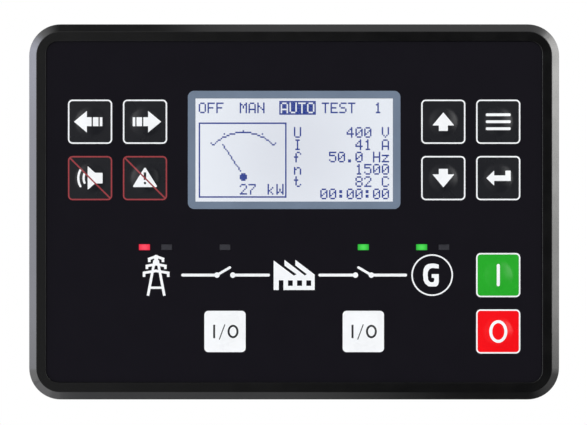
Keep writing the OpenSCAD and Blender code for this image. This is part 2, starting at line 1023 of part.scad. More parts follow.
module button(index) {
    key = KEYS[index];
    head_back = web_y + collar_gap;
    at(key[1], key[2]) {
        intersection() {
            translate([0, dome_y, 0])
                sphere(head_r);
            rod(button_d, film_y - dome_h - cut, head_back + collar_t / 2);
        }
        rod(collar_d, head_back, head_back + collar_t);
        rod(stem_d, head_back, board_y - switch_t + stem_in);
    }
}

module button_left() {
    color("#d8dade")
        button(0);
}

module button_right() {
    color("#d8dade")
        button(1);
}

module button_horn() {
    color("#d8dade")
        button(2);
}

module button_alarm() {
    color("#d8dade")
        button(3);
}

module button_up() {
    color("#d8dade")
        button(4);
}

module button_menu() {
    color("#d8dade")
        button(5);
}

module button_down() {
    color("#d8dade")
        button(6);
}

module button_enter() {
    color("#d8dade")
        button(7);
}

module button_start() {
    color("#d8dade")
        button(8);
}

module button_stop() {
    color("#d8dade")
        button(9);
}

module button_mains() {
    color("#d8dade")
        button(10);
}

module button_generator() {
    color("#d8dade")
        button(11);
}

module switch_bodies() {
    color("#2b2b2e")
        for (key = KEYS)
            at(key[1], key[2]) {
                difference() {
                    slab(board_y - switch_t, board_y)
                        square(switch_size, center = true);
                    rod(stem_d + 2 * button_gap, board_y - switch_t - cut,
                        board_y - switch_t + switch_bore_depth);
                }
                for (side = [-1, 1])
                    at(0, side * lead_pitch / 2)
                        slab(board_y - lead_t, board_y)
                            square([switch_size + 2 * lead_reach, lead_w], center = true);
            }
}

// Circuit boards

module display_board() {
    color("#1f5c3a")
        difference() {
            slab(board_y, board_back_y)
                rounded(display_board_w, display_board_h, display_board_r);
            at_corners(screw_x, screw_z)
                rod(screw_d + 2 * screw_hole_gap, board_y - cut, board_back_y + cut);
            at_tabs()
                slab(board_y - cut, board_back_y + cut)
                    square([tab_w + 2 * lens_gap, frame_wall + 2 * lens_gap], center = true);
        }
}

module main_board() {
    color("#1f5c3a")
        difference() {
            slab(main_y, main_back_y)
                rounded(main_board_w, main_board_h, main_board_r);
            at_corners(post_x, post_z)
                rod(post_screw_d + 2 * screw_hole_gap, main_y - cut, main_back_y + cut);
        }
}

module link_outline(step, side) {
    for (i = [0:link_poles - 1], row = [-1, 1])
        translate([(i - (link_poles - 1) / 2) * step, row * step / 2])
            square(side, center = true);
}

module link_header() {
    color("#26272a")
        at(link_x, link_z) {
            slab(main_y - link_base, main_y)
                square([link_poles * link_pitch, link_w], center = true);
            slab(main_y - link_base - link_pin_l, main_y - link_base / 2)
                link_outline(link_pitch, link_pin_t);
        }
}

module link_socket() {
    color("#26272a")
        at(link_x, link_z)
            difference() {
                slab(board_back_y, main_y - link_base - link_gap)
                    square([link_poles * link_pitch, link_w], center = true);
                slab(main_y - link_base - link_pin_l - cut, main_y - link_base + cut)
                    link_outline(link_pitch, link_hole);
            }
}

module processor() {
    span = chip_size + 2 * chip_pin_l;
    color("#2a2b2e")
        at(chip_x, chip_z) {
            slab(main_y - chip_t, main_y)
                square(chip_size, center = true);
            slab(main_y - chip_pin_t, main_y)
                for (i = [0:chip_pin_count - 1]) {
                    offset_i = (i - (chip_pin_count - 1) / 2) * chip_pin_pitch;
                    translate([offset_i, 0])
                        square([chip_pin_w, span], center = true);
                    translate([0, offset_i])
                        square([span, chip_pin_w], center = true);
                }
        }
}

module coin_holder() {
    color("#26272a")
        at(coin_x, coin_z)
            difference() {
                slab(main_y - holder_floor - coin_t, main_y)
                    square(cell_holder_w, center = true);
                rod(coin_d + 2 * lens_gap, main_y - holder_floor - coin_t - cut,
                    main_y - holder_floor);
            }
}

module coin_cell() {
    color("#c9ccd1")
        at(coin_x, coin_z)
            rod(coin_d, main_y - holder_floor - coin_t, main_y - holder_floor);
}

module capacitors() {
    color("#33415e")
        for (i = [0:capacitor_count - 1])
            at(capacitor_x + i * capacitor_pitch, capacitor_z) {
                rod(capacitor_d, main_y - capacitor_l, main_y - capacitor_collar - capacitor_groove_l);
                rod(capacitor_d - 2 * capacitor_groove, main_y - capacitor_l / 2,
                    main_y - capacitor_collar / 2);
                rod(capacitor_d, main_y - capacitor_collar, main_y);
            }
}

module current_transformers() {
    color("#3f6f9e")
        for (i = [0:transformer_count - 1])
            at(transformer_x + i * transformer_pitch, transformer_z)
                difference() {
                    slab(main_y - transformer_l, main_y)
                        square([transformer_w, transformer_h], center = true);
                    translate([0, main_y - transformer_l / 2, -transformer_h])
                        cylinder(h = 2 * transformer_h, d = transformer_hole);
                }
}

module board_screws() {
    color("#b9bcc2")
        at_corners(post_x, post_z)
            difference() {
                union() {
                    rod(post_head_d, main_y - post_head_h, main_y);
                    rod(post_screw_d, main_y - post_head_h / 2, main_back_y + post_screw_bite);
                }
                slab(main_y - post_head_h - cut, main_y - post_head_h / 2)
                    cross_recess();
            }
}

module cross_recess() {
    square([recess_cross, recess_cross_t], center = true);
    square([recess_cross_t, recess_cross], center = true);
}

// Rear housing

module corner_tube(sx, sz) {
    at(sx * screw_x, sz * screw_z)
        rod(tube_d, board_back_y, rear_inner_y + wall / 2);
    slab(board_back_y, rear_inner_y + wall / 2) {
        translate([sx * (screw_x + rib_l / 2), sz * screw_z])
            square([rib_l, rib_t], center = true);
        translate([sx * screw_x, sz * (screw_z + rib_l / 2)])
            square([rib_t, rib_l], center = true);
    }
}

module housing_shell() {
    difference() {
        slab(flange_y, housing_depth)
            rounded(housing_w, housing_h, housing_r);
        slab(flange_y - cut, rear_inner_y)
            rounded(housing_in_w, housing_in_h, housing_in_r);
    }
}

module holder_slots() {
    for (sx = [-1, 1], sz = [-1, 1])
        translate([sx * housing_w * slot_x_share, slot_y, sz * (housing_h - wall) / 2])
            cube([slot_w, slot_l, 2 * wall], center = true);
}

module rear_openings() {
    slab(rear_inner_y - cut, housing_depth + cut) {
        for (i = [0:len(TOP_POLES) - 1])
            translate([plug_x(TOP_POLES, i), row_z])
                header_outline(TOP_POLES[i], shroud_t + opening_gap);
        for (i = [0:len(BOTTOM_POLES) - 1])
            translate([plug_x(BOTTOM_POLES, i), -row_z])
                header_outline(BOTTOM_POLES[i], shroud_t + opening_gap);
        translate([usb_x, 0])
            square([usb_w + 2 * opening_gap, usb_h + 2 * opening_gap], center = true);
        for (i = [0:vent_count - 1])
            translate([vent_x + (i - (vent_count - 1) / 2) * vent_pitch, 0])
                rounded(vent_w, vent_h, vent_w / 2 * vent_round_share);
    }
}

module rear_housing() {
    color("#26272a")
        difference() {
            union() {
                housing_shell();
                for (sx = [-1, 1], sz = [-1, 1])
                    corner_tube(sx, sz);
                at_corners(post_x, post_z)
                    rod(post_d, main_back_y, rear_inner_y + wall / 2);
            }
            at_corners(screw_x, screw_z) {
                rod(screw_d + 2 * screw_hole_gap, board_back_y - cut, housing_depth + cut);
                rod(counterbore_d, housing_depth - counterbore_depth, housing_depth + cut);
            }
            at_corners(post_x, post_z)
                rod(post_screw_d + 2 * thread_gap, main_back_y - cut,
                    main_back_y + post_screw_bite + screw_hole_spare);
            rear_openings();
            holder_slots();
        }
}

module housing_screws() {
    seat_y = housing_depth - counterbore_depth;
    color("#b9bcc2")
        at_corners(screw_x, screw_z)
            difference() {
                union() {
                    rod(screw_d, board_y - screw_bite, seat_y + head_h / 2);
                    rod(head_d, seat_y, seat_y + head_h);
                }
                slab(seat_y + head_h - recess_cross_depth, seat_y + head_h + cut)
                    cross_recess();
            }
}

// Terminals

function plug_w(poles) = poles * pole_pitch;
function before(row, i) = i == 0 ? 0 : before(row, i - 1) + plug_w(row[i - 1]) + plug_gap_x;
function row_w(row) = before(row, len(row) - 1) + plug_w(row[len(row) - 1]);
function plug_x(row, i) = before(row, i) + plug_w(row[i]) / 2 - row_w(row) / 2;

module header_outline(poles, extra) {
    square([plug_w(poles) - 2 * nose_step + 2 * (shroud_gap + extra),
            nose_h + 2 * (shroud_gap + extra)], center = true);
}

module at_poles(poles) {
    for (i = [0:poles - 1])
        at((i - (poles - 1) / 2) * pole_pitch, 0)
            children();
}

module header(poles) {
    difference() {
        slab(main_back_y, housing_depth)
            header_outline(poles, shroud_t);
        slab(main_back_y + shroud_floor, housing_depth + cut)
            header_outline(poles, 0);
        at_poles(poles)
            slab(main_back_y - cut, main_back_y + shroud_floor + cut)
                square(pin_t + 2 * thread_gap, center = true);
    }
}

module top_headers() {
    color("#3f8f5a")
        for (i = [0:len(TOP_POLES) - 1])
            at(plug_x(TOP_POLES, i), row_z)
                header(TOP_POLES[i]);
}

module bottom_headers() {
    color("#3f8f5a")
        for (i = [0:len(BOTTOM_POLES) - 1])
            at(plug_x(BOTTOM_POLES, i), -row_z)
                header(BOTTOM_POLES[i]);
}

module pin_row(poles) {
    at_poles(poles)
        slab(main_back_y, plug_y - nose_l + pin_tip_share * nose_l)
            square(pin_t, center = true);
}

module header_pins() {
    color("#c9ccd1") {
        for (i = [0:len(TOP_POLES) - 1])
            at(plug_x(TOP_POLES, i), row_z)
                pin_row(TOP_POLES[i]);
        for (i = [0:len(BOTTOM_POLES) - 1])
            at(plug_x(BOTTOM_POLES, i), -row_z)
                pin_row(BOTTOM_POLES[i]);
    }
}

// Places a row's plug, with the screws of the lower row facing down
module in_row(row, i, side) {
    translate([plug_x(row, i), 0, side * row_z])
        mirror([0, 0, (1 - side) / 2])
            children();
}

module plug(poles) {
    low = block_rise - block_h / 2;
    high = block_rise + block_h / 2;
    back = plug_y + block_l;
    difference() {
        union() {
            slab(plug_y - nose_l, plug_y + cut)
                square([plug_w(poles) - 2 * nose_step, nose_h], center = true);
            translate([-plug_w(poles) / 2, 0, 0])
                rotate([90, 0, 90])
                    linear_extrude(plug_w(poles))
                        polygon([[plug_y, low], [back, low], [back, high - block_chamfer],
                                 [back - block_chamfer, high], [plug_y, high]]);
        }
        at_poles(poles)
            slab(plug_y - nose_l - cut, plug_y - nose_l + contact_depth)
                square(contact_hole, center = true);
        at_poles(poles)
            slab(back - wire_hole_depth, back + cut)
                square([wire_hole_w, wire_hole_h], center = true);
        at_poles(poles)
            translate([0, plug_y + block_l * pole_screw_y_share, 0])
                cylinder(h = high + cut, d = pole_screw_d + 2 * pole_screw_gap);
    }
}

module pole_screws(poles) {
    high = block_rise + block_h / 2 - pole_screw_sink;
    color("#b9bcc2")
        at_poles(poles)
            translate([0, plug_y + block_l * pole_screw_y_share, 0])
                difference() {
                    translate([0, 0, wire_hole_h / 2])
                        cylinder(h = high - wire_hole_h / 2, d = pole_screw_d);
                    translate([0, 0, high])
                        cube([2 * pole_screw_d, pole_slot_t, 2 * pole_slot_depth], center = true);
                }
}

module plug_top_left() {
    color("#3f8f5a")
        in_row(TOP_POLES, 0, 1)
            plug(TOP_POLES[0]);
}

module plug_top_right() {
    color("#3f8f5a")
        in_row(TOP_POLES, 1, 1)
            plug(TOP_POLES[1]);
}

module plug_bottom_left() {
    color("#3f8f5a")
        in_row(BOTTOM_POLES, 0, -1)
            plug(BOTTOM_POLES[0]);
}

module plug_bottom_middle() {
    color("#3f8f5a")
        in_row(BOTTOM_POLES, 1, -1)
            plug(BOTTOM_POLES[1]);
}

module plug_bottom_right() {
    color("#3f8f5a")
        in_row(BOTTOM_POLES, 2, -1)
            plug(BOTTOM_POLES[2]);
}

module screws_top_left() {
    in_row(TOP_POLES, 0, 1)
        pole_screws(TOP_POLES[0]);
}

module screws_top_right() {
    in_row(TOP_POLES, 1, 1)
        pole_screws(TOP_POLES[1]);
}

module screws_bottom_left() {
    in_row(BOTTOM_POLES, 0, -1)
        pole_screws(BOTTOM_POLES[0]);
}

module screws_bottom_middle() {
    in_row(BOTTOM_POLES, 1, -1)
        pole_screws(BOTTOM_POLES[1]);
}

module screws_bottom_right() {
    in_row(BOTTOM_POLES, 2, -1)
        pole_screws(BOTTOM_POLES[2]);
}

// USB socket

module usb_opening() {
    half_w = usb_in_w / 2;
    half_h = usb_in_h / 2;
    polygon([[-half_w, -half_h], [half_w, -half_h], [half_w, half_h - usb_corner],
             [half_w - usb_corner, half_h], [usb_corner - half_w, half_h],
             [-half_w, half_h - usb_corner]]);
}

module usb_shell() {
    color("#b9bcc2")
        at(usb_x, 0)
            difference() {
                slab(main_back_y, housing_depth + usb_proud)
                    square([usb_w, usb_h], center = true);
                slab(main_back_y + usb_floor, housing_depth + usb_proud + cut)
                    usb_opening();
            }
}

module usb_tongue() {
    color("#1d1d20")
        at(usb_x, 0)
            slab(main_back_y + usb_floor, housing_depth + usb_proud - tongue_short)
                square([tongue_w, tongue_h], center = true);
}

front_bezel();
front_plate();
overlay_film();
print_white();
print_red();
print_green();
print_dark();
window_lens();
window_border();
display_frame();
display_cell();
light_guide();
display_board();
switch_bodies();
status_leds();
light_pipe_red();
light_pipes_green();
light_pipes_unlit();
button_left();
button_right();
button_horn();
button_alarm();
button_up();
button_menu();
button_down();
button_enter();
button_start();
button_stop();
button_mains();
button_generator();
panel_gasket();
rear_housing();
housing_screws();
main_board();
board_screws();
link_header();
link_socket();
processor();
coin_cell();
coin_holder();
capacitors();
current_transformers();
usb_shell();
usb_tongue();
top_headers();
bottom_headers();
header_pins();
plug_top_left();
plug_top_right();
plug_bottom_left();
plug_bottom_middle();
plug_bottom_right();
screws_top_left();
screws_top_right();
screws_bottom_left();
screws_bottom_middle();
screws_bottom_right();
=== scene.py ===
"""Looks of a panel-mounted generator-set controller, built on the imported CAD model.

Lengths in this script are millimetres, turned into Blender's metres by MM.
The front faces -Y and +Z is up; the origin is the centre of the panel cut-out.
"""

import math

import bmesh
import bpy
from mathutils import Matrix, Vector
from mathutils.geometry import delaunay_2d_cdt


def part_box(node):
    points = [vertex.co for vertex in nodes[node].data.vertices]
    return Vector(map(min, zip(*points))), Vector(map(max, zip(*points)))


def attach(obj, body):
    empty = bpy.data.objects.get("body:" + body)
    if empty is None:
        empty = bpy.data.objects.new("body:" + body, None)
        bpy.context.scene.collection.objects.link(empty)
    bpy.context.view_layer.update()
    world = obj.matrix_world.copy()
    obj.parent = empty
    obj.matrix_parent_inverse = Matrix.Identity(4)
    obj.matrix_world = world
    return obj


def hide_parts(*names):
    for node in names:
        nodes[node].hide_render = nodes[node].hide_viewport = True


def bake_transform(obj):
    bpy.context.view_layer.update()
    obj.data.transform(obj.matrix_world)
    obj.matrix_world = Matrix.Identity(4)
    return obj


MM = 0.001
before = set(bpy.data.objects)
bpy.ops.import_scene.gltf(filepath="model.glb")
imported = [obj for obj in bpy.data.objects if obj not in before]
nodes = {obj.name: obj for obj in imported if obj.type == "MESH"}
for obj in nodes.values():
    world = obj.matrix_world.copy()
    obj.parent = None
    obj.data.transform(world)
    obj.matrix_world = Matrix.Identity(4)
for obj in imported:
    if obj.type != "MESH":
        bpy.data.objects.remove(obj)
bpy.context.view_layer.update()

# Depths along Y, from the CAD: rim, end of its bevel, film, recess behind it, back of the web, display cell,
# gasket's channel, flange, and the lip that reaches into the housing
RIM_Y = -9.6
BEVEL_Y = -6.9
FILM_Y = -9.0
RECESS_Y = -8.75
WEB_BACK_Y = -6.75
CELL_Y = -6.25
CHANNEL_Y = -3.3
FLANGE_Y = -0.8
LIP_Y = 1.2

# Half the front's width, half its height, and its corner radius
FRONT = (92.5, 65.5, 11)
# Width, height and corner radius: of the film, which reaches 0.05 mm into the recess's wall so that no gap
# shows, and of the window in it
FILM = (172.7, 118.7, 4.25)
WINDOW = (74.3, 41.4, 2.3)
# Side, corner radius and line of a framed key, and side and corner radius of a white one
KEY, KEY_R, KEY_LINE = 15.4, 1.6, 0.5
WHITE_KEY, WHITE_KEY_R = 14.4, 1.4
# Side of the patch of film that bends with a key, and radius and height of the dome embossed in it
KEY_PATCH = 16.6
DOME_R, DOME_H = 21.13, 0.6
# Width and height of a status light, and how far the flange of its pipe stands out round it
LIGHT = (3.7, 1.9)
LIGHT_FLANGE = 0.9


def middle(node):
    """Where the middle of a CAD node is, across and up, in millimetres."""
    low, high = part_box(node)
    return (low.x + high.x) / 2 / MM, (low.z + high.z) / 2 / MM


def lights(node):
    """The centres of a node's first and last status lights, across."""
    low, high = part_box(node)
    return [low.x / MM + LIGHT[0] / 2 + LIGHT_FLANGE, high.x / MM - LIGHT[0] / 2 - LIGHT_FLANGE]


# Name of each key, its centre, and how it is printed
KEY_KINDS = {
    "left": "white frame", "right": "white frame", "horn": "red frame", "alarm": "red frame",
    "up": "white frame", "menu": "white frame", "down": "white frame", "enter": "white frame",
    "start": "green field", "stop": "red field", "mains": "white field", "generator": "white field",
}
KEYS = [(name, *middle("button_" + name), kind) for name, kind in KEY_KINDS.items()]
WHITE_X = middle("button_generator")[0]
RED_X, LIGHT_Z = middle("light_pipe_red")
GREEN_X = lights("light_pipes_green")
first_unlit, last_unlit = lights("light_pipes_unlit")
UNLIT_X = [first_unlit, -WHITE_X, last_unlit]
WINDOW_Z = middle("window_lens")[1]
MIMIC_Z = middle("button_start")[1]


# Camera: straight in front, through a long lens, as the photograph was taken

camera = bpy.data.objects.new("camera", bpy.data.cameras.new("camera"))
bpy.context.scene.collection.objects.link(camera)
bpy.context.scene.camera = camera
camera.data.lens = 210.8
camera.data.clip_start = 0.05
camera.data.clip_end = 20
camera.location = Vector((-0.227, -1206.9, -0.21)) * MM
camera.rotation_euler = (math.radians(90), 0, 0)


# Materials


def srgb(code):
    """A colour written as sRGB hex, in Blender's linear values."""
    shares = [int(code[i : i + 2], 16) / 255 for i in (1, 3, 5)]
    return [v / 12.92 if v <= 0.04045 else ((v + 0.055) / 1.055) ** 2.4 for v in shares] + [1.0]


def add(tree, kind, inputs=None, **settings):
    """Adds a node to a tree. inputs gives each socket a value, or another node's output to link to."""
    made = tree.nodes.new(kind)
    for name, value in settings.items():
        setattr(made, name, value)
    for socket, value in (inputs or {}).items():
        if isinstance(value, bpy.types.NodeSocket):
            tree.links.new(value, made.inputs[socket])
        else:
            made.inputs[socket].default_value = value
    return made


def finish(name, colour, rough, mottle=0.04, mottle_mm=6.0, grain_mm=0.3, grain_um=4.0, edge_mm=0.0, **plain):
    """A surface whose colour mottles over mottle_mm, and whose grain of grain_mm stands grain_um high.

    rough is the lowest and highest roughness; edge_mm rounds sharp edges; plain goes straight on the shader.
    """
    made = bpy.data.materials.new(name)
    made.use_nodes = True
    tree = made.node_tree
    shader = tree.nodes["Principled BSDF"]
    place = add(tree, "ShaderNodeTexCoord").outputs["Object"]
    cloud = add(tree, "ShaderNodeTexNoise", {"Vector": place, "Scale": 1 / (mottle_mm * MM), "Detail": 3.0})
    grain = add(tree, "ShaderNodeTexNoise", {"Vector": place, "Scale": 1 / (grain_mm * MM), "Detail": 2.0})
    shade = add(tree, "ShaderNodeMapRange", {"Value": cloud.outputs["Fac"], "From Min": 0.3, "From Max": 0.7,
                                             "To Min": 1 - mottle, "To Max": 1 + mottle})
    tint = add(tree, "ShaderNodeVectorMath", {0: srgb(colour)[:3], "Scale": shade.outputs["Result"]},
               operation="SCALE")
    gloss = add(tree, "ShaderNodeMapRange", {"Value": cloud.outputs["Fac"], "From Min": 0.3, "From Max": 0.7,
                                             "To Min": rough[0], "To Max": rough[1]})
    relief = add(tree, "ShaderNodeBump", {"Height": grain.outputs["Fac"], "Distance": grain_um * MM * MM,
                                          "Strength": 1.0})
    if edge_mm:
        rounded = add(tree, "ShaderNodeBevel", {"Radius": edge_mm * MM}, samples=4)
        tree.links.new(rounded.outputs["Normal"], relief.inputs["Normal"])
    tree.links.new(tint.outputs["Vector"], shader.inputs["Base Color"])
    tree.links.new(gloss.outputs["Result"], shader.inputs["Roughness"])
    tree.links.new(relief.outputs["Normal"], shader.inputs["Normal"])
    for socket, value in plain.items():
        shader.inputs[socket.replace("_", " ")].default_value = value
    return made


# ABS moulded in a lightly grained mould: satin, so that its bevels hold soft-edged reflections
bezel_abs = finish("bezel_abs_satin_moulded", "#070708", (0.17, 0.22), grain_mm=0.35, grain_um=1.2)
# Polyester film printed on its back, seen through a fine velvet face
FILM_FACE = dict(rough=(0.26, 0.3), mottle=0.03, mottle_mm=9, grain_mm=0.12, grain_um=0.6,
                 Specular_IOR_Level=0.35)
# Its flat part hardly reflects, so the black stays deep
film_black = finish("polyester_film_velvet_black", "#0f0d15",
                    **(FILM_FACE | dict(rough=(0.46, 0.52), grain_um=1.5, Specular_IOR_Level=0.08)))
# The same film over each embossed key, glossier where it was drawn over the form, so that each dome shines
key_black = finish("polyester_film_embossed_black", "#18191e", **FILM_FACE)
# Screen-printed inks, a touch uneven where the ink is thin
ink_white = finish("screen_ink_white", "#f1f3f5", **FILM_FACE)
ink_red = finish("screen_ink_red", "#f1000e",
                 **(FILM_FACE | dict(rough=(0.2, 0.24), Specular_IOR_Level=0.26)))
ink_dull_red = finish("screen_ink_dull_red", "#963a3f", **FILM_FACE)
ink_green = finish("screen_ink_green", "#1ca620", **FILM_FACE)
ink_dark = finish("screen_ink_dark", "#242427", **FILM_FACE)
PAINTS = {"film": film_black, "key": key_black, "white": ink_white, "red": ink_red, "dull red": ink_dull_red,
          "green": ink_green, "dark": ink_dark}
# Slate print on the back of the window's acrylic: smooth and slightly cool
slate = finish("screen_ink_slate_on_acrylic", "#6b7a8e", (0.3, 0.36), mottle=0.05, mottle_mm=12, grain_mm=0.5,
               grain_um=0.5)


# Meshes


def arc(x, z, r, angles):
    """Points on a circle round x and z, at those angles in degrees."""
    return [(x + r * math.cos(math.radians(a)), z + r * math.sin(math.radians(a))) for a in angles]


def rounded_rect(w, h, r, x=0.0, z=0.0, steps=12):
    """Outline of a rounded rectangle, anticlockwise as the front is seen."""
    points = []
    for turn, (sx, sz) in enumerate([(1, 1), (-1, 1), (-1, -1), (1, -1)]):
        angles = [90 * (turn + i / steps) for i in range(steps + 1)]
        points += arc(x + sx * (w / 2 - r), z + sz * (h / 2 - r), r, angles)
    return points


def rect(w, h, x=0.0, z=0.0):
    """Outline of a rectangle round x and z."""
    return [(x - w / 2, z - h / 2), (x + w / 2, z - h / 2), (x + w / 2, z + h / 2), (x - w / 2, z + h / 2)]


def oval(w, h, x=0.0, z=0.0, count=48):
    """Outline of an ellipse round x and z."""
    turns = [2 * math.pi * i / count for i in range(count)]
    return [(x + w / 2 * math.cos(t), z + h / 2 * math.sin(t)) for t in turns]


def placed(points, size=1.0, x=0.0, z=0.0, height=None, flip=1, turn=1):
    """Points in shares of a size, or of a size and a height, put in their place.

    flip -1 mirrors them left to right, and turn -1 up to down.
    """
    return [(x + flip * size * px, z + turn * (height or size) * pz) for px, pz in points]


def stroke(a, b, width, round_end=False):
    """A line of that width from a to b, with square or round ends."""
    along = (Vector(b) - Vector(a)).normalized()
    side = Vector((-along.y, along.x)) * width / 2
    a, b = Vector(a), Vector(b)
    if not round_end:
        return [tuple(p) for p in (a - side, b - side, b + side, a + side)]
    points = []
    for centre, sign in ((b, 1), (a, -1)):
        for i in range(13):
            t = math.radians(-90 + 15 * i)
            points.append(tuple(centre + sign * (along * math.cos(t) * width / 2 + side * math.sin(t))))
    return points


def softened(points, r):
    """The outline with a curve of about that radius at each corner."""
    found = []
    for before, corner, after in zip(points[-1:] + points[:-1], points, points[1:] + points[:1]):
        corner = Vector(corner)
        a, b = (corner + (Vector(p) - corner).normalized() * r for p in (before, after))
        for i in range(5):
            t = i / 4
            found.append(tuple(a * (1 - t) ** 2 + corner * 2 * t * (1 - t) + b * t * t))
    return found


def divided(outline, step):
    """The outline with no edge longer than step, so that it can follow a dome."""
    points = []
    for a, b in zip(outline, outline[1:] + outline[:1]):
        parts = max(1, math.ceil(math.dist(a, b) / step))
        points += [(a[0] + (b[0] - a[0]) * i / parts, a[1] + (b[1] - a[1]) * i / parts) for i in range(parts)]
    return points


def settled(obj):
    """The object with its modifiers turned into a plain mesh."""
    evaluated = obj.evaluated_get(bpy.context.evaluated_depsgraph_get())
    mesh = bpy.data.meshes.new_from_object(evaluated)
    obj.modifiers.clear()
    obj.data = mesh
    return obj


def new_object(name, points, faces, materials, indices=None):
    """A mesh object at the origin from points in millimetres."""
    mesh = bpy.data.meshes.new(name)
    mesh.from_pydata([Vector(p) * MM for p in points], [], faces)
    for made in materials:
        mesh.materials.append(made)
    if indices:
        mesh.polygons.foreach_set("material_index", indices)
    obj = bpy.data.objects.new(name, mesh)
    bpy.context.scene.collection.objects.link(obj)
    return obj


def painted(name, shapes, thickness, height=None, extra=()):
    """A printed sheet from outlines in painter's order. A shape painted None leaves a hole.

    height gives how far each point stands in front of the film's plane; extra points let it curve.
    """
    points, faces = [], []
    for _, outline in shapes:
        if sum(a[0] * b[1] - b[0] * a[1] for a, b in zip(outline, outline[1:] + outline[:1])) < 0:
            outline = outline[::-1]
        faces.append(list(range(len(points), len(points) + len(outline))))
        points += outline
    flat = [Vector(p) for p in [*points, *extra]]
    found, _, triangles, _, _, sources = delaunay_2d_cdt(flat, [], faces, 1, 1e-4)
    names = list(PAINTS)
    kept, indices = [], []
    for triangle, source in zip(triangles, sources):
        paint = shapes[max(source)][0] if source else None
        if paint:
            kept.append(triangle)
            indices.append(names.index(paint))
    solid = [(p.x, FILM_Y - (height(p.x, p.y) if height else 0), p.y) for p in found]
    obj = new_object(name, solid, kept, PAINTS.values(), indices)
    clean = bmesh.new()
    clean.from_mesh(obj.data)
    bmesh.ops.delete(clean, geom=[v for v in clean.verts if not v.link_faces], context="VERTS")
    clean.to_mesh(obj.data)
    clean.free()
    solidify = obj.modifiers.new("thickness", "SOLIDIFY")
    solidify.thickness = thickness * MM
    solidify.offset = -1
    settled(obj)
    obj.data.polygons.foreach_set("use_smooth", [True] * len(obj.data.polygons))
    obj.data.set_sharp_from_angle(angle=math.radians(35))
    return obj


# Front bezel: one closed loft through the moulding's section


def loft(name, rings, material, edge, steps=14):
    """A closed band through rounded rectangles given as half width, half height, radius and depth.

    edge is the radius of its rounded edges, and steps the pieces of each corner.
    """
    points, faces = [], []
    for half_w, half_h, r, y in rings:
        points += [(x, y, z) for x, z in rounded_rect(2 * half_w, 2 * half_h, r, steps=steps)]
    count = len(points) // len(rings)
    for i in range(len(rings)):
        a, b = i * count, (i + 1) % len(rings) * count
        faces += [(a + j, a + (j + 1) % count, b + (j + 1) % count, b + j) for j in range(count)]
    obj = new_object(name, points, faces, [material])
    clean = bmesh.new()
    clean.from_mesh(obj.data)
    bmesh.ops.recalc_face_normals(clean, faces=clean.faces)
    clean.to_mesh(obj.data)
    clean.free()
    obj.data.polygons.foreach_set("use_smooth", [True] * len(obj.data.polygons))
    edges = obj.modifiers.new("edges", "BEVEL")
    edges.width = edge * MM
    edges.segments = 3
    edges.limit_method = "ANGLE"
    edges.angle_limit = math.radians(25)
    edges.harden_normals = True
    return settled(obj)


def front_inset(inset, y):
    """The front's outline moved inwards, as a ring of the loft at that depth."""
    return (*(size - inset for size in FRONT), y)


# From the flange forwards over the bevel and rim, down into the recess, through the web and back along the
# lip's inside, then round the gasket's channel
bezel = loft("bezel", [
    front_inset(0, FLANGE_Y), front_inset(0, BEVEL_Y), front_inset(BEVEL_Y - RIM_Y, RIM_Y),
    (86.5, 59.5, 4.4, RIM_Y), (86.3, 59.3, 4.2, RECESS_Y), (86.3, 59.3, 4.2, WEB_BACK_Y),
    (82.8, 55.9, 1.4, WEB_BACK_Y), (82.8, 55.9, 1.4, LIP_Y), (84.2, 57.3, 2.8, LIP_Y),
    (84.2, 57.3, 2.8, FLANGE_Y), front_inset(4.8, FLANGE_Y), front_inset(4.8, CHANNEL_Y),
    front_inset(1.2, CHANNEL_Y), front_inset(1.2, FLANGE_Y),
], bezel_abs, 0.14)
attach(bezel, "controller")
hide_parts("front_bezel")


# Printed overlay. Symbols are outlines in shares of a key's size, or of their own size in the diagram
ARROW = [(-0.365, 0), (-0.071, -0.244), (-0.071, -0.101), (0.036, -0.101), (0.036, 0.101), (-0.071, 0.101),
         (-0.071, 0.244)]
ARROW_BLOCKS = [(0.066, 0.191), (0.22, 0.278)]
HORN = [(-0.053, 0.272), (-0.053, -0.265), (0.1155, -0.12), (0.283, -0.12), (0.283, 0.12), (0.1155, 0.12)]
ALARM = [(0, 0.255), (-0.286, -0.203), (0.286, -0.203)]
UP = [(0, 0.211), (-0.247, -0.085), (-0.102, -0.085), (-0.102, -0.209), (0.102, -0.209), (0.102, -0.085),
      (0.247, -0.085)]
ENTER = [(-0.271, 0), (-0.095, -0.17), (-0.095, -0.064), (0.282, -0.064), (0.282, 0.169), (0.16, 0.169),
         (0.16, 0.061), (-0.095, 0.061), (-0.095, 0.17)]
PYLON = [(0.295, 0, 0.054, 0.864), (-0.05, 0.97, 0.29, 0.889), (0.245, 0.92, 0.245, 0.82),
         (-0.05, 0.775, 0.375, 0.721), (0.33, 0.745, 0.33, 0.65), (-0.05, 0.611, 0.478, 0.554),
         (0.433, 0.58, 0.433, 0.46)]
FACTORY = [(0, 0), (1, 0), (1, 0.513), (0.529, 1), (0.529, 0.818), (0.808, 0.526), (0.76, 0.48), (0.264, 1),
           (0.264, 0.81), (0.558, 0.52), (0.49, 0.48), (0, 0.98)]
FACTORY_HOLES = [(0.126, -0.1, 0.239, 0.324), (0.35, 0.138, 0.466, 0.32), (0.571, 0.138, 0.693, 0.32),
                 (0.797, 0.138, 0.915, 0.32)]
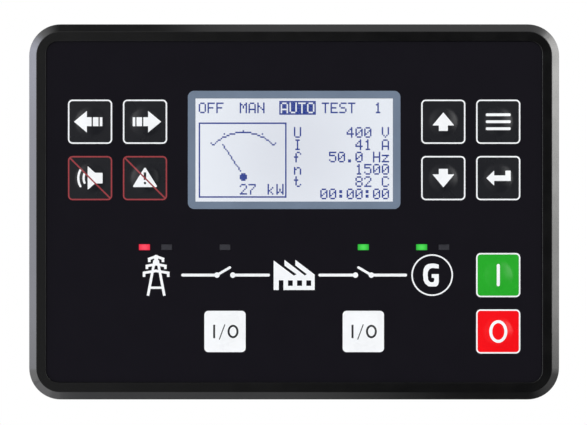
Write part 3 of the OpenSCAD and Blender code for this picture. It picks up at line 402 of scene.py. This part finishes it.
LETTER_G = [(0.333, 0.525), (0.18, 0.572), (0, 0.583), (-0.2, 0.558), (-0.35, 0.458), (-0.433, 0.292),
            (-0.458, 0.025), (-0.433, -0.258), (-0.367, -0.408), (-0.2, -0.558), (-0.05, -0.575), (0.2, -0.575),
            (0.3, -0.492), (0.333, -0.342), (0.333, 0.05), (-0.025, 0.05), (-0.025, -0.133), (0.1, -0.142),
            (0.108, -0.242), (0.075, -0.342), (-0.017, -0.367), (-0.117, -0.342), (-0.2, -0.242),
            (-0.225, -0.008), (-0.217, 0.158), (-0.133, 0.308), (-0.017, 0.358), (0.333, 0.333)]


def wave(near, radius, spread):
    """An arc of the horn's sound as a round-ended band: its nearest point, radius and half angle."""
    x, half = near + radius, 0.0245
    angles = [180 + spread * i / 8 for i in range(-8, 9)]
    last_end, first_end = arc(x, 0, radius, [180 + spread, 180 - spread])
    return (arc(x, 0, radius + half, angles)
            + arc(*last_end, half, [180 + spread + 30 * i for i in range(1, 6)])
            + arc(x, 0, radius - half, angles[::-1])
            + arc(*first_end, half, [360 - spread + 30 * i for i in range(1, 6)]))


def symbol(name, ground):
    """A key's symbol in painter's order, in shares of the key's size, over a ground of that paint."""
    if name in ("left", "right"):
        flip = 1 if name == "left" else -1
        blocks = [rect(b - a, 0.202, flip * (a + b) / 2) for a, b in ARROW_BLOCKS]
        return [("white", outline) for outline in (placed(ARROW, flip=flip), *blocks)]
    if name in ("up", "down"):
        return [("white", placed(softened(UP, 0.012), turn=1 if name == "up" else -1))]
    if name == "horn":
        sound = [wave(-0.265, 0.38, 29), wave(-0.144, 0.28, 22)]
        return [("white", outline) for outline in (softened(HORN, 0.02), *sound)]
    if name == "alarm":
        return [("white", softened(ALARM, 0.045)), (ground, rect(0.056, 0.17, 0, 0.044)),
                (ground, oval(0.056, 0.056, 0, -0.113, 24))]
    if name == "menu":
        return [("white", rounded_rect(0.561, 0.064, 0.022, 0, i * 0.158, 3)) for i in (-1, 0, 1)]
    if name == "enter":
        return [("white", softened(ENTER, 0.012))]
    if name == "start":
        return [("white", stroke((0, -0.218), (0, 0.218), 0.071, True))]
    if name == "stop":
        return [("white", oval(0.408, 0.514)), (ground, oval(0.274, 0.38))]
    # A breaker's key: bar, slash and ring
    return [("dark", rect(0.05, 0.325, -0.262)), ("dark", stroke((-0.138, -0.195), (-0.002, 0.172), 0.025)),
            ("dark", oval(0.265, 0.325, 0.195)), (ground, oval(0.165, 0.225, 0.195))]


def key_shapes(name, kind):
    """Every printed outline of a key, in painter's order, from the key's centre."""
    shapes = [("film", rect(KEY_PATCH, KEY_PATCH))]
    if kind == "white field":
        size, ground = WHITE_KEY, "white"
        shapes.append((ground, rounded_rect(size, size, WHITE_KEY_R)))
    else:
        size, inner = KEY, KEY - 2 * KEY_LINE
        line = "dull red" if kind == "red frame" else "white"
        ground = {"green field": "green", "red field": "red"}.get(kind, "key")
        shapes += [(line, rounded_rect(size, size, KEY_R)),
                   (ground, rounded_rect(inner, inner, KEY_R - KEY_LINE))]
    shapes += [(paint, placed(outline, size)) for paint, outline in symbol(name, ground)]
    if kind == "red frame":
        shapes.append((line, placed(stroke((-0.455, 0.455), (0.455, -0.455), 0.033), size)))
    return shapes


def dome(x, z):
    """Height of an embossed dome: a spherical cap that eases into the flat round it.

    ease softens the crease at its rim, and past foot the last of that fades out over fade_w.
    """
    ease, foot, fade_w = 0.05, 5.6, 1.6
    across = math.hypot(x, z)
    cap = math.sqrt(DOME_R**2 - across**2) - DOME_R + DOME_H
    eased = (cap + math.sqrt(cap * cap + ease**2)) / 2
    fade = min(1, max(0, (across - foot) / fade_w))
    return min(DOME_H, eased) * (1 - fade * fade * (3 - 2 * fade))


# Sizes of the one-line diagram: how far its outer symbols stand from the middle, the generator's ring and its
# line, the letter in it, width and height of the factory and of the pylon, and the pylon's struts
RING_X, RING_D, RING_LINE = 48.1, 14.5, 0.5
LETTER = 6.92
LOAD = (14.3, 10.5)
PYLON_SIZE = (9.7, 14.3)
STRUT = 0.9
# Its line, the contacts and blade of each open breaker, and how far the blade's tip is from its pivot
LINE, CONTACT, BLADE = 1, 1.9, 0.85
BLADE_REACH = (4.5, 2.65)


def mimic_shapes():
    """The printed one-line diagram: grid pylon, breaker, load, breaker and generator."""
    load = dict(size=LOAD[0], x=-LOAD[0] / 2, z=MIMIC_Z - 5.2, height=LOAD[1])
    shapes = [("white", placed(FACTORY, **load))]
    for x0, z0, x1, z1 in FACTORY_HOLES:
        shapes.append(("film", placed([(x0, z0), (x1, z0), (x1, z1), (x0, z1)], **load)))
    pivot, contact = WHITE_X + 2.8, WHITE_X - 2.75
    for side in (-1, 1):
        for a, b in ((RING_X - 9.25, pivot), (contact, 8.95)):
            shapes.append(("white", stroke((side * a, MIMIC_Z), (side * b, MIMIC_Z), LINE, True)))
        shapes += [("white", oval(CONTACT, CONTACT, side * x, MIMIC_Z)) for x in (contact, pivot)]
        tip = (side * (pivot - BLADE_REACH[0]), MIMIC_Z + BLADE_REACH[1])
        shapes.append(("white", stroke((side * pivot, MIMIC_Z), tip, BLADE, True)))
        for x0, z0, x1, z1 in PYLON:
            ends = placed([(x0, z0), (x1, z1)], PYLON_SIZE[0], -RING_X, MIMIC_Z - 7.2, PYLON_SIZE[1], flip=side)
            shapes.append(("white", stroke(*ends, STRUT)))
    # The pylon's lowest bar and its mast's top, then the ring and its letter
    hole_d = RING_D - 2 * RING_LINE
    return shapes + [
        ("white", rect(4.56, 0.8, -RING_X, MIMIC_Z - 4.4)),
        ("white", rect(1.35, 3.5, -RING_X, MIMIC_Z + 5.13)),
        ("white", oval(RING_D, RING_D, RING_X, MIMIC_Z, 72)),
        ("film", oval(hole_d, hole_d, RING_X, MIMIC_Z, 72)),
        ("white", placed(LETTER_G, LETTER, RING_X, MIMIC_Z)),
    ]


sheet_shapes = [("film", rounded_rect(*FILM)), (None, rounded_rect(*WINDOW, 0, WINDOW_Z))]
sheet_shapes += [(None, rect(KEY_PATCH, KEY_PATCH, x, z)) for _, x, z, _ in KEYS]
sheet_shapes += [(None, rect(LIGHT[0] + 0.2, LIGHT[1] + 0.2, x, LIGHT_Z)) for x in [RED_X, *GREEN_X, *UNLIT_X]]
overlay = painted("overlay", sheet_shapes + mimic_shapes(), 0.25)
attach(overlay, "controller")
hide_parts("overlay_film", "print_white", "print_red", "print_green", "print_dark")

# Points on rings round a dome's middle, and edges no longer than their distance, let each key's film curve
DOME_STEP = 0.5
dome_grid = [(0.0, 0.0)]
for i in range(1, 15):
    dome_grid += oval(2 * i * DOME_STEP, 2 * i * DOME_STEP, count=8 + 3 * i)
for name, x, z, kind in KEYS:
    shapes = [(paint, placed(divided(outline, DOME_STEP), x=x, z=z))
              for paint, outline in key_shapes(name, kind)]
    patch = painted(f"overlay_key_{name}", shapes, 0.12, lambda px, pz: dome(px - x, pz - z),
                    placed(dome_grid, x=x, z=z))
    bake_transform(patch)


# Liquid crystal display, 132 dots wide and 64 high. Its characters are five dots by seven

DOT_FONT = {
    "0": ".###. #...# #..## #.#.# ##..# #...# .###.", "1": "..#.. .##.. ..#.. ..#.. ..#.. ..#.. .###.",
    "2": ".###. #...# ....# ...#. ..#.. .#... #####", "4": "...#. ..##. .#.#. #..#. ##### ...#. ...#.",
    "5": "##### #.... ####. ....# ....# #...# .###.", "7": "##### ....# ...#. ..#.. .#... .#... .#...",
    "8": ".###. #...# #...# .###. #...# #...# .###.",
    ".": "..... ..... ..... ..... ..... .##.. .##..", ":": "..... .##.. .##.. ..... .##.. .##.. .....",
    "A": ".###. #...# #...# #...# ##### #...# #...#", "C": ".###. #...# #.... #.... #.... #...# .###.",
    "E": "##### #.... #.... ####. #.... #.... #####", "F": "##### #.... #.... ####. #.... #.... #....",
    "H": "#...# #...# #...# ##### #...# #...# #...#", "I": ".###. ..#.. ..#.. ..#.. ..#.. ..#.. .###.",
    "M": "#...# ##.## #.#.# #.#.# #...# #...# #...#", "N": "#...# #...# ##..# #.#.# #..## #...# #...#",
    "O": ".###. #...# #...# #...# #...# #...# .###.", "S": ".#### #.... #.... .###. ....# ....# ####.",
    "T": "##### ..#.. ..#.. ..#.. ..#.. ..#.. ..#..", "U": "#...# #...# #...# #...# #...# #...# .###.",
    "V": "#...# #...# #...# #...# #...# .#.#. ..#..", "W": "#...# #...# #...# #.#.# #.#.# ##.## #...#",
    "f": "..##. .#..# .#... ###.. .#... .#... .#...", "k": "#.... #.... #..#. #.#.. ##... #.#.. #..#.",
    "n": "..... ..... #.##. ##..# #...# #...# #...#", "t": ".#... .#... ###.. .#... .#... .#..# ..##.",
    "z": "..... ..... ##### ...#. ..#.. .#... #####", " ": "..... ..... ..... ..... ..... ..... .....",
}
# Across and up: from one dot to the next, and the size of a dot
DOT_W, DOT_H = 0.5113, 0.5366
DOT = (0.5, 0.525)
# Left and top edge of the first dot
DOTS_LEFT, DOTS_TOP = -33.84, 38.74


def written(text, column, row):
    """The dots of a line of text whose first character starts at that column and row."""
    found = set()
    for place, letter in enumerate(text):
        for down, line in enumerate(DOT_FONT[letter].split()):
            found |= {(column + 6 * place + i, row + down) for i, mark in enumerate(line) if mark == "#"}
    return found


def ruled(a, b):
    """The dots nearest a straight line between two points, in dots."""
    parts = math.ceil(max(abs(b[0] - a[0]), abs(b[1] - a[1])))
    return {(round(a[0] + (b[0] - a[0]) * i / parts), round(a[1] + (b[1] - a[1]) * i / parts))
            for i in range(parts + 1)}


def display_dots():
    """The dark dots of the screen: operating modes above, a dial on the left and readings on the right."""
    dots = written("OFF", 1, 1) | written("MAN", 29, 1) | written("TEST", 85, 1) | written("1", 121, 1)
    box = {(c, r) for c in range(56, 81) for r in range(0, 9)}
    dots |= box - written("AUTO", 57, 1)
    readings = ("U     400 V", "I      41 A", "f   50.0 Hz", "n      1500", "t      82 C", "   00:00:00")
    for line, text in enumerate(readings):
        dots |= written(text, 66, 17 + 8 * line)
    corners = [(1, 14), (60, 14), (60, 62), (1, 62)]
    for a, b in zip(corners, corners[1:] + corners[:1]):
        dots |= ruled(a, b)
    # The dial: its scale round a centre, level at both ends, with five ticks on it
    column, row, scale_r, tick_r = 31, 50, 30, 31.4
    dots |= {(c, min(28, round(row - math.sqrt(scale_r**2 - (c - column) ** 2)))) for c in range(10, 53)}
    for tilt in (-43.7, -24.1, 0, 24.1, 43.7):
        turn = math.radians(tilt)
        dots.add((round(column + tick_r * math.sin(turn)), round(row - tick_r * math.cos(turn))))
    # Its needle, the hub just above the centre, and the reading
    dots |= ruled((17, 28), (29, 45))
    dots |= {(c, r) for c in range(28, 35) for r in range(46, 53) if math.hypot(c - column, r - row + 1) < 2.4}
    return dots | written("27", 29, 54) | written("kW", 48, 54)


def instanced_dots(points, size, material):
    """A square of that size on each point, made by a node tree, as one plain mesh."""
    tree = bpy.data.node_groups.new("dots on a display", "GeometryNodeTree")
    sockets = {}
    for label, kind in (("Points", "NodeSocketGeometry"), ("Dot width", "NodeSocketFloat"),
                        ("Dot height", "NodeSocketFloat"), ("Ink", "NodeSocketMaterial")):
        sockets[label] = tree.interface.new_socket(label, in_out="INPUT", socket_type=kind).identifier
    tree.interface.new_socket("Dots", in_out="OUTPUT", socket_type="NodeSocketGeometry")
    given = add(tree, "NodeGroupInput")
    dot = add(tree, "GeometryNodeMeshGrid", {"Size X": given.outputs["Dot width"],
                                             "Size Y": given.outputs["Dot height"],
                                             "Vertices X": 2, "Vertices Y": 2})
    placed_dots = add(tree, "GeometryNodeInstanceOnPoints", {
        "Points": given.outputs["Points"], "Instance": dot.outputs["Mesh"],
        "Rotation": (math.radians(90), 0, 0)})
    real = add(tree, "GeometryNodeRealizeInstances", {"Geometry": placed_dots.outputs["Instances"]})
    inked = add(tree, "GeometryNodeSetMaterial", {"Geometry": real.outputs["Geometry"],
                                                  "Material": given.outputs["Ink"]})
    add(tree, "NodeGroupOutput", {"Dots": inked.outputs["Geometry"]})
    obj = new_object("display_dots", points, [], [material])
    modifier = obj.modifiers.new("dots", "NODES")
    modifier.node_group = tree
    modifier[sockets["Dot width"]] = size[0] * MM
    modifier[sockets["Dot height"]] = size[1] * MM
    modifier[sockets["Ink"]] = material
    return settled(obj)


# Dark liquid crystal over the backlight: a little blue comes through, unevenly
crystal = finish("liquid_crystal_dark", "#0a1440", (0.25, 0.3), mottle=0.08, mottle_mm=8, grain_mm=0.6,
                 grain_um=0.2, Emission_Color=srgb("#14389c"), Emission_Strength=0.75)
dot_places = [(DOTS_LEFT + (c + 0.5) * DOT_W, CELL_Y - 0.02, DOTS_TOP - (r + 0.5) * DOT_H)
              for c, r in display_dots()]
dots = instanced_dots(dot_places, DOT, crystal)
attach(dots, "controller")


def glowing(made, x_values, z, near, far, spread_mm, strength):
    """Makes a material shine, in the colour near at the given centres and far at spread_mm from the nearest."""
    tree = made.node_tree
    shader = tree.nodes["Principled BSDF"]
    place = add(tree, "ShaderNodeTexCoord").outputs["Object"]
    flat = add(tree, "ShaderNodeVectorMath", {0: place, 1: (1, 0, 1)}, operation="MULTIPLY").outputs["Vector"]
    nearest = None
    for x in x_values:
        away = add(tree, "ShaderNodeVectorMath", {0: flat, 1: (x * MM, 0, z * MM)}, operation="DISTANCE")
        if nearest is not None:
            away = add(tree, "ShaderNodeMath", {0: nearest, 1: away.outputs["Value"]}, operation="MINIMUM")
        nearest = away.outputs["Value"]
    share = add(tree, "ShaderNodeMapRange", {"Value": nearest, "From Max": spread_mm * MM},
                interpolation_type="SMOOTHSTEP").outputs["Result"]
    shine = add(tree, "ShaderNodeMix", {"Factor": share, "A": srgb(near), "B": srgb(far)}, data_type="RGBA")
    tree.links.new(shine.outputs["Result"], shader.inputs["Emission Color"])
    shader.inputs["Emission Strength"].default_value = strength
    return made


# Backlit crystal cell: cool white, a little whiter towards its edges
cell_lit = glowing(finish("liquid_crystal_cell_backlit", "#20222a", (0.2, 0.25), mottle_mm=10, grain_um=0.2),
                   [0], WINDOW_Z, "#e6eaf3", "#f2f7ff", 38, 0.95)
# Acrylic light guides, lit from behind by the lamps on the board: brightest in front of the lamp
pipe_red = glowing(finish("acrylic_red_lit", "#8a1024", (0.25, 0.3)),
                   [RED_X], LIGHT_Z, "#fb5066", "#d81c38", 2.4, 0.82)
pipe_green = glowing(finish("acrylic_green_lit", "#0e701a", (0.25, 0.3)),
                     GREEN_X, LIGHT_Z, "#54e05a", "#1a9a28", 2.4, 0.8)
# Smoked acrylic whose lamp is off: a dull dark grey
pipe_unlit = finish("acrylic_smoked", "#2c2c33", (0.28, 0.36), mottle=0.06, mottle_mm=2)
# Clear cast acrylic: polished, with the faintest waviness of the sheet
acrylic = finish("acrylic_clear_polished", "#ffffff", (0.0, 0.02), mottle=0.0, grain_mm=20, grain_um=1,
                 Transmission_Weight=1.0, IOR=1.49)
# Glass-filled polyamide housing: satin black with a fine fibre mottle and softened mould edges
housing_black = finish("polyamide_housing_satin", "#1d1e20", (0.45, 0.5), mottle=0.03, mottle_mm=4,
                       grain_mm=0.4, grain_um=5, edge_mm=0.25)
# Moulded terminal blocks: green polyamide with a soft sheen
terminal_green = finish("polyamide_green_satin", "#2f8f4c", (0.38, 0.48), mottle=0.05, mottle_mm=3,
                        grain_um=3, edge_mm=0.15)
# Zinc-plated steel screws: bright, with a slight turned unevenness
screw_zinc = finish("steel_zinc_plated", "#b4b8be", (0.24, 0.34), mottle=0.08, mottle_mm=1.2, grain_mm=0.2,
                    grain_um=2, edge_mm=0.1, Metallic=1.0)
# Tinned steel sheet of the display frame and the socket shell: soft grey shine, clouded by the tin
tinned = finish("steel_tinned_sheet", "#a9adb3", (0.3, 0.42), mottle=0.06, mottle_mm=5, grain_mm=0.5,
                grain_um=1, edge_mm=0.08, Metallic=1.0)
# Tinned brass pins, warmer than the steel
pin_metal = finish("brass_tinned_pins", "#c6bfae", (0.28, 0.38), mottle=0.06, mottle_mm=1, grain_um=1,
                   Metallic=1.0)
# Epoxy glass laminate: satin green solder mask that the weave below makes uneven
laminate = finish("epoxy_laminate_solder_mask", "#1b5636", (0.3, 0.4), mottle=0.1, mottle_mm=2.5, grain_mm=0.6)
# Nylon of the switches and connectors: dull black with softened edges
nylon = finish("nylon_black_moulded", "#232427", (0.4, 0.5), mottle=0.05, mottle_mm=2, grain_um=3, edge_mm=0.08)
# Acrylic of the light guide: even milky white
milky = finish("acrylic_white_diffusing", "#eef0f2", (0.4, 0.5), mottle=0.02, mottle_mm=5)
# Epoxy over the status lamps: pale yellow from the phosphor in it
led_epoxy = finish("epoxy_lamp_phosphor", "#e8dcae", (0.3, 0.4), mottle=0.05, mottle_mm=1)
# Transfer-moulded epoxy of the processor: matt dark grey, finely pitted
chip_epoxy = finish("epoxy_chip_moulded", "#28292c", (0.5, 0.6), mottle=0.05, mottle_mm=1, grain_mm=0.1)
# Nickel-plated steel of the coin cell: smooth and bright
cell_steel = finish("steel_nickel_cell", "#bfc2c6", (0.2, 0.3), mottle=0.05, mottle_mm=2, Metallic=1.0)
# Shrink sleeve of the capacitors: blue with a soft shine
sleeve = finish("polyolefin_sleeve_blue", "#2c3a58", (0.3, 0.4), mottle=0.06, mottle_mm=3)
# Nylon of the current transformers: mid blue, dull, with softened edges
nylon_blue = finish("nylon_blue_moulded", "#376592", (0.4, 0.5), mottle=0.05, mottle_mm=3, edge_mm=0.15)
# Foamed rubber of the gasket: dull, with open pores
rubber = finish("rubber_foamed_gasket", "#2b2d2f", (0.7, 0.85), mottle=0.12, mottle_mm=1, grain_mm=0.5,
                grain_um=30)
# Moulded polycarbonate of the push buttons: pale grey and satin
button_plastic = finish("polycarbonate_buttons", "#d2d4d8", (0.35, 0.45), mottle=0.03, mottle_mm=2, edge_mm=0.1)

NODE_FINISHES = {
    bezel_abs: ["front_bezel", "front_plate"],
    film_black: ["overlay_film"],
    acrylic: ["window_lens"],
    slate: ["window_border"],
    tinned: ["display_frame", "usb_shell"],
    cell_lit: ["display_cell"],
    milky: ["light_guide"],
    laminate: ["display_board", "main_board"],
    nylon: ["switch_bodies", "link_header", "link_socket", "coin_holder", "usb_tongue"],
    led_epoxy: ["status_leds"],
    pipe_red: ["light_pipe_red"],
    pipe_green: ["light_pipes_green"],
    pipe_unlit: ["light_pipes_unlit"],
    rubber: ["panel_gasket"],
    housing_black: ["rear_housing"],
    screw_zinc: ["housing_screws", "board_screws"] + [n for n in nodes if n.startswith("screws_")],
    chip_epoxy: ["processor"],
    cell_steel: ["coin_cell"],
    sleeve: ["capacitors"],
    nylon_blue: ["current_transformers"],
    terminal_green: ["top_headers", "bottom_headers"] + [n for n in nodes if n.startswith("plug_")],
    pin_metal: ["header_pins"],
    button_plastic: [n for n in nodes if n.startswith("button_")],
}
for made, names in NODE_FINISHES.items():
    for name in names:
        mesh = nodes[name].data
        mesh.materials.clear()
        mesh.materials.append(made)
        mesh.polygons.foreach_set("material_index", [0] * len(mesh.polygons))


# Light: a plain even world, softboxes in front, and panels at the sides for the bevels

world = bpy.data.worlds.new("studio")
bpy.context.scene.world = world
world.use_nodes = True
# The world is so even that it needs no sampling as a lamp
world.cycles.sampling_method = "NONE"
sky = world.node_tree
for old in list(sky.nodes):
    sky.nodes.remove(old)
path = add(sky, "ShaderNodeLightPath")
direction = add(sky, "ShaderNodeSeparateXYZ", {"Vector": add(sky, "ShaderNodeTexCoord").outputs["Generated"]})
# Reflections and glass see a white room behind the object, and a dim one on the camera's side, paler on its
# left. Level with the object the room is pale on the left and a little on the right, which carries the bevels'
# light round the corners
left = add(sky, "ShaderNodeMapRange", {"Value": direction.outputs["X"], "From Min": -1.0, "From Max": 0.0,
                                       "To Min": 2.65, "To Max": 0.08}, interpolation_type="SMOOTHSTEP")
right = add(sky, "ShaderNodeMapRange", {"Value": direction.outputs["X"], "To Max": 0.75},
            interpolation_type="SMOOTHSTEP")
level_with = add(sky, "ShaderNodeMath", {0: left.outputs["Result"], 1: right.outputs["Result"]})
pale_left = add(sky, "ShaderNodeMapRange", {"Value": direction.outputs["X"], "From Min": -0.09, "From Max": 0.0,
                                            "To Min": 0.42, "To Max": 0.03})
dim = add(sky, "ShaderNodeMapRange", {
    "Value": direction.outputs["Y"], "From Min": -0.7, "From Max": -0.3,
    "To Min": pale_left.outputs["Result"], "To Max": level_with.outputs["Value"]})
mirrored = add(sky, "ShaderNodeMapRange", {
    "Value": direction.outputs["Y"], "From Min": 0.15, "From Max": 0.7,
    "To Min": dim.outputs["Result"], "To Max": 1.0}, interpolation_type="SMOOTHSTEP")
through = add(sky, "ShaderNodeMath", {0: path.outputs["Is Glossy Ray"], 1: path.outputs["Is Transmission Ray"]},
              operation="MAXIMUM")
level = add(sky, "ShaderNodeMix", {"Factor": through.outputs["Value"], "A": 0.55,
                                   "B": mirrored.outputs["Result"]}, data_type="FLOAT")
# The camera sees plain white
seen = add(sky, "ShaderNodeMix", {"Factor": path.outputs["Is Camera Ray"], "A": level.outputs["Result"],
                                  "B": 1.0}, data_type="FLOAT")
white = add(sky, "ShaderNodeBackground", {"Color": (1, 1, 1, 1), "Strength": seen.outputs["Result"]})
add(sky, "ShaderNodeOutputWorld", {"Surface": white.outputs["Background"]})


def softbox(name, place, size, radiance, tint="#ffffff", target=(0, 0, 0)):
    """A rectangular lamp at a place in millimetres that faces another, the object's middle if none is given."""
    lamp = bpy.data.lights.new(name, "AREA")
    lamp.shape = "RECTANGLE"
    lamp.size, lamp.size_y = size[0] * MM, size[1] * MM
    lamp.energy = radiance * math.pi * lamp.size * lamp.size_y
    lamp.color = srgb(tint)[:3]
    obj = bpy.data.objects.new(name, lamp)
    obj.location = Vector(place) * MM
    obj.rotation_euler = (Vector(target) * MM - obj.location).to_track_quat("-Z", "Y").to_euler()
    bpy.context.scene.collection.objects.link(obj)


softbox("front_left", (-540, -950, 260), (340, 760), 2.4)
softbox("front_right", (540, -950, 260), (340, 760), 3.8)
softbox("front_above", (0, -800, 800), (700, 400), 1.0)
# Panels beside the object, seen in its bevels: side, width, tint, lower end, and each height up to which it has
# a radiance. They are brightest above the object, and each bevel's light fades where its panels end
PANEL_X, PANEL_BACK_Y = 500, 110
for side, wide, tint, low, panels in (
    (-1, 200, "#e2e5ff", -95,
     ((-66, 1.3), (20, 2.4), (60, 3.4), (200, 4.9), (290, 4.1), (390, 2.6), (480, 0.7))),
    (1, 120, "#fffefc", -144,
     ((-92, 0.75), (-66, 1.5), (0, 4.3), (50, 6.4), (230, 8.4), (330, 7.4), (400, 6.0))),
):
    for high, radiance in panels:
        place = (side * PANEL_X, PANEL_BACK_Y - wide / 2, (low + high) / 2)
        softbox(f"side_{side}_{high}", place, (wide, high - low), radiance, tint, (0, *place[1:]))
        low = high
# Panels above and below it: height, middle and width along the depth, left end, and each place across up to
# which it has a radiance
for z, y, deep, start, panels in (
    (450, -20, 260, -53, ((310, 0.78), (370, 1.2), (430, 2.0), (560, 4.0))),
    (-140, 10, 200, -210, ((-118, 1.25), (-88, 0.7))),
):
    for end, radiance in panels:
        place = ((start + end) / 2, y, z)
        softbox(f"across_{z}_{end}", place, (end - start, deep), radiance, target=(*place[:2], 0))
        start = end

# Floor: pale, and faded out before its rim, so that only the shadow shows. The bottom bevel reflects only a
# patch of it, on the left
FLOOR_Z, FLOOR_R = -145, 600
pale = bpy.data.materials.new("floor_pale")
pale.use_nodes = True
ground = pale.node_tree
shade = ground.nodes["Principled BSDF"]
shade.inputs["Base Color"].default_value = srgb("#f6f6f6")
shade.inputs["Roughness"].default_value = 0.9
spot = add(ground, "ShaderNodeTexCoord").outputs["Object"]
fades = []
for x, near, far in ((0, 250, 580), (-100, 95, 170)):
    away = add(ground, "ShaderNodeVectorMath", {0: spot, 1: (x * MM, 0, FLOOR_Z * MM)}, operation="DISTANCE")
    fade = add(ground, "ShaderNodeMapRange", {
        "Value": away.outputs["Value"], "From Min": near * MM, "From Max": far * MM,
        "To Min": 1.0, "To Max": 0.0}, interpolation_type="SMOOTHSTEP")
    fades.append(fade.outputs["Result"])
chosen = add(ground, "ShaderNodeMix", {"Factor": add(ground, "ShaderNodeLightPath").outputs["Is Glossy Ray"],
                                       "A": fades[0], "B": fades[1]}, data_type="FLOAT")
ground.links.new(chosen.outputs["Result"], shade.inputs["Alpha"])
floor = new_object("floor", [(x, y, FLOOR_Z) for x, y in oval(2 * FLOOR_R, 2 * FLOOR_R, count=64)],
                   [list(range(64))], [pale])

bpy.context.scene.view_settings.view_transform = "Standard"
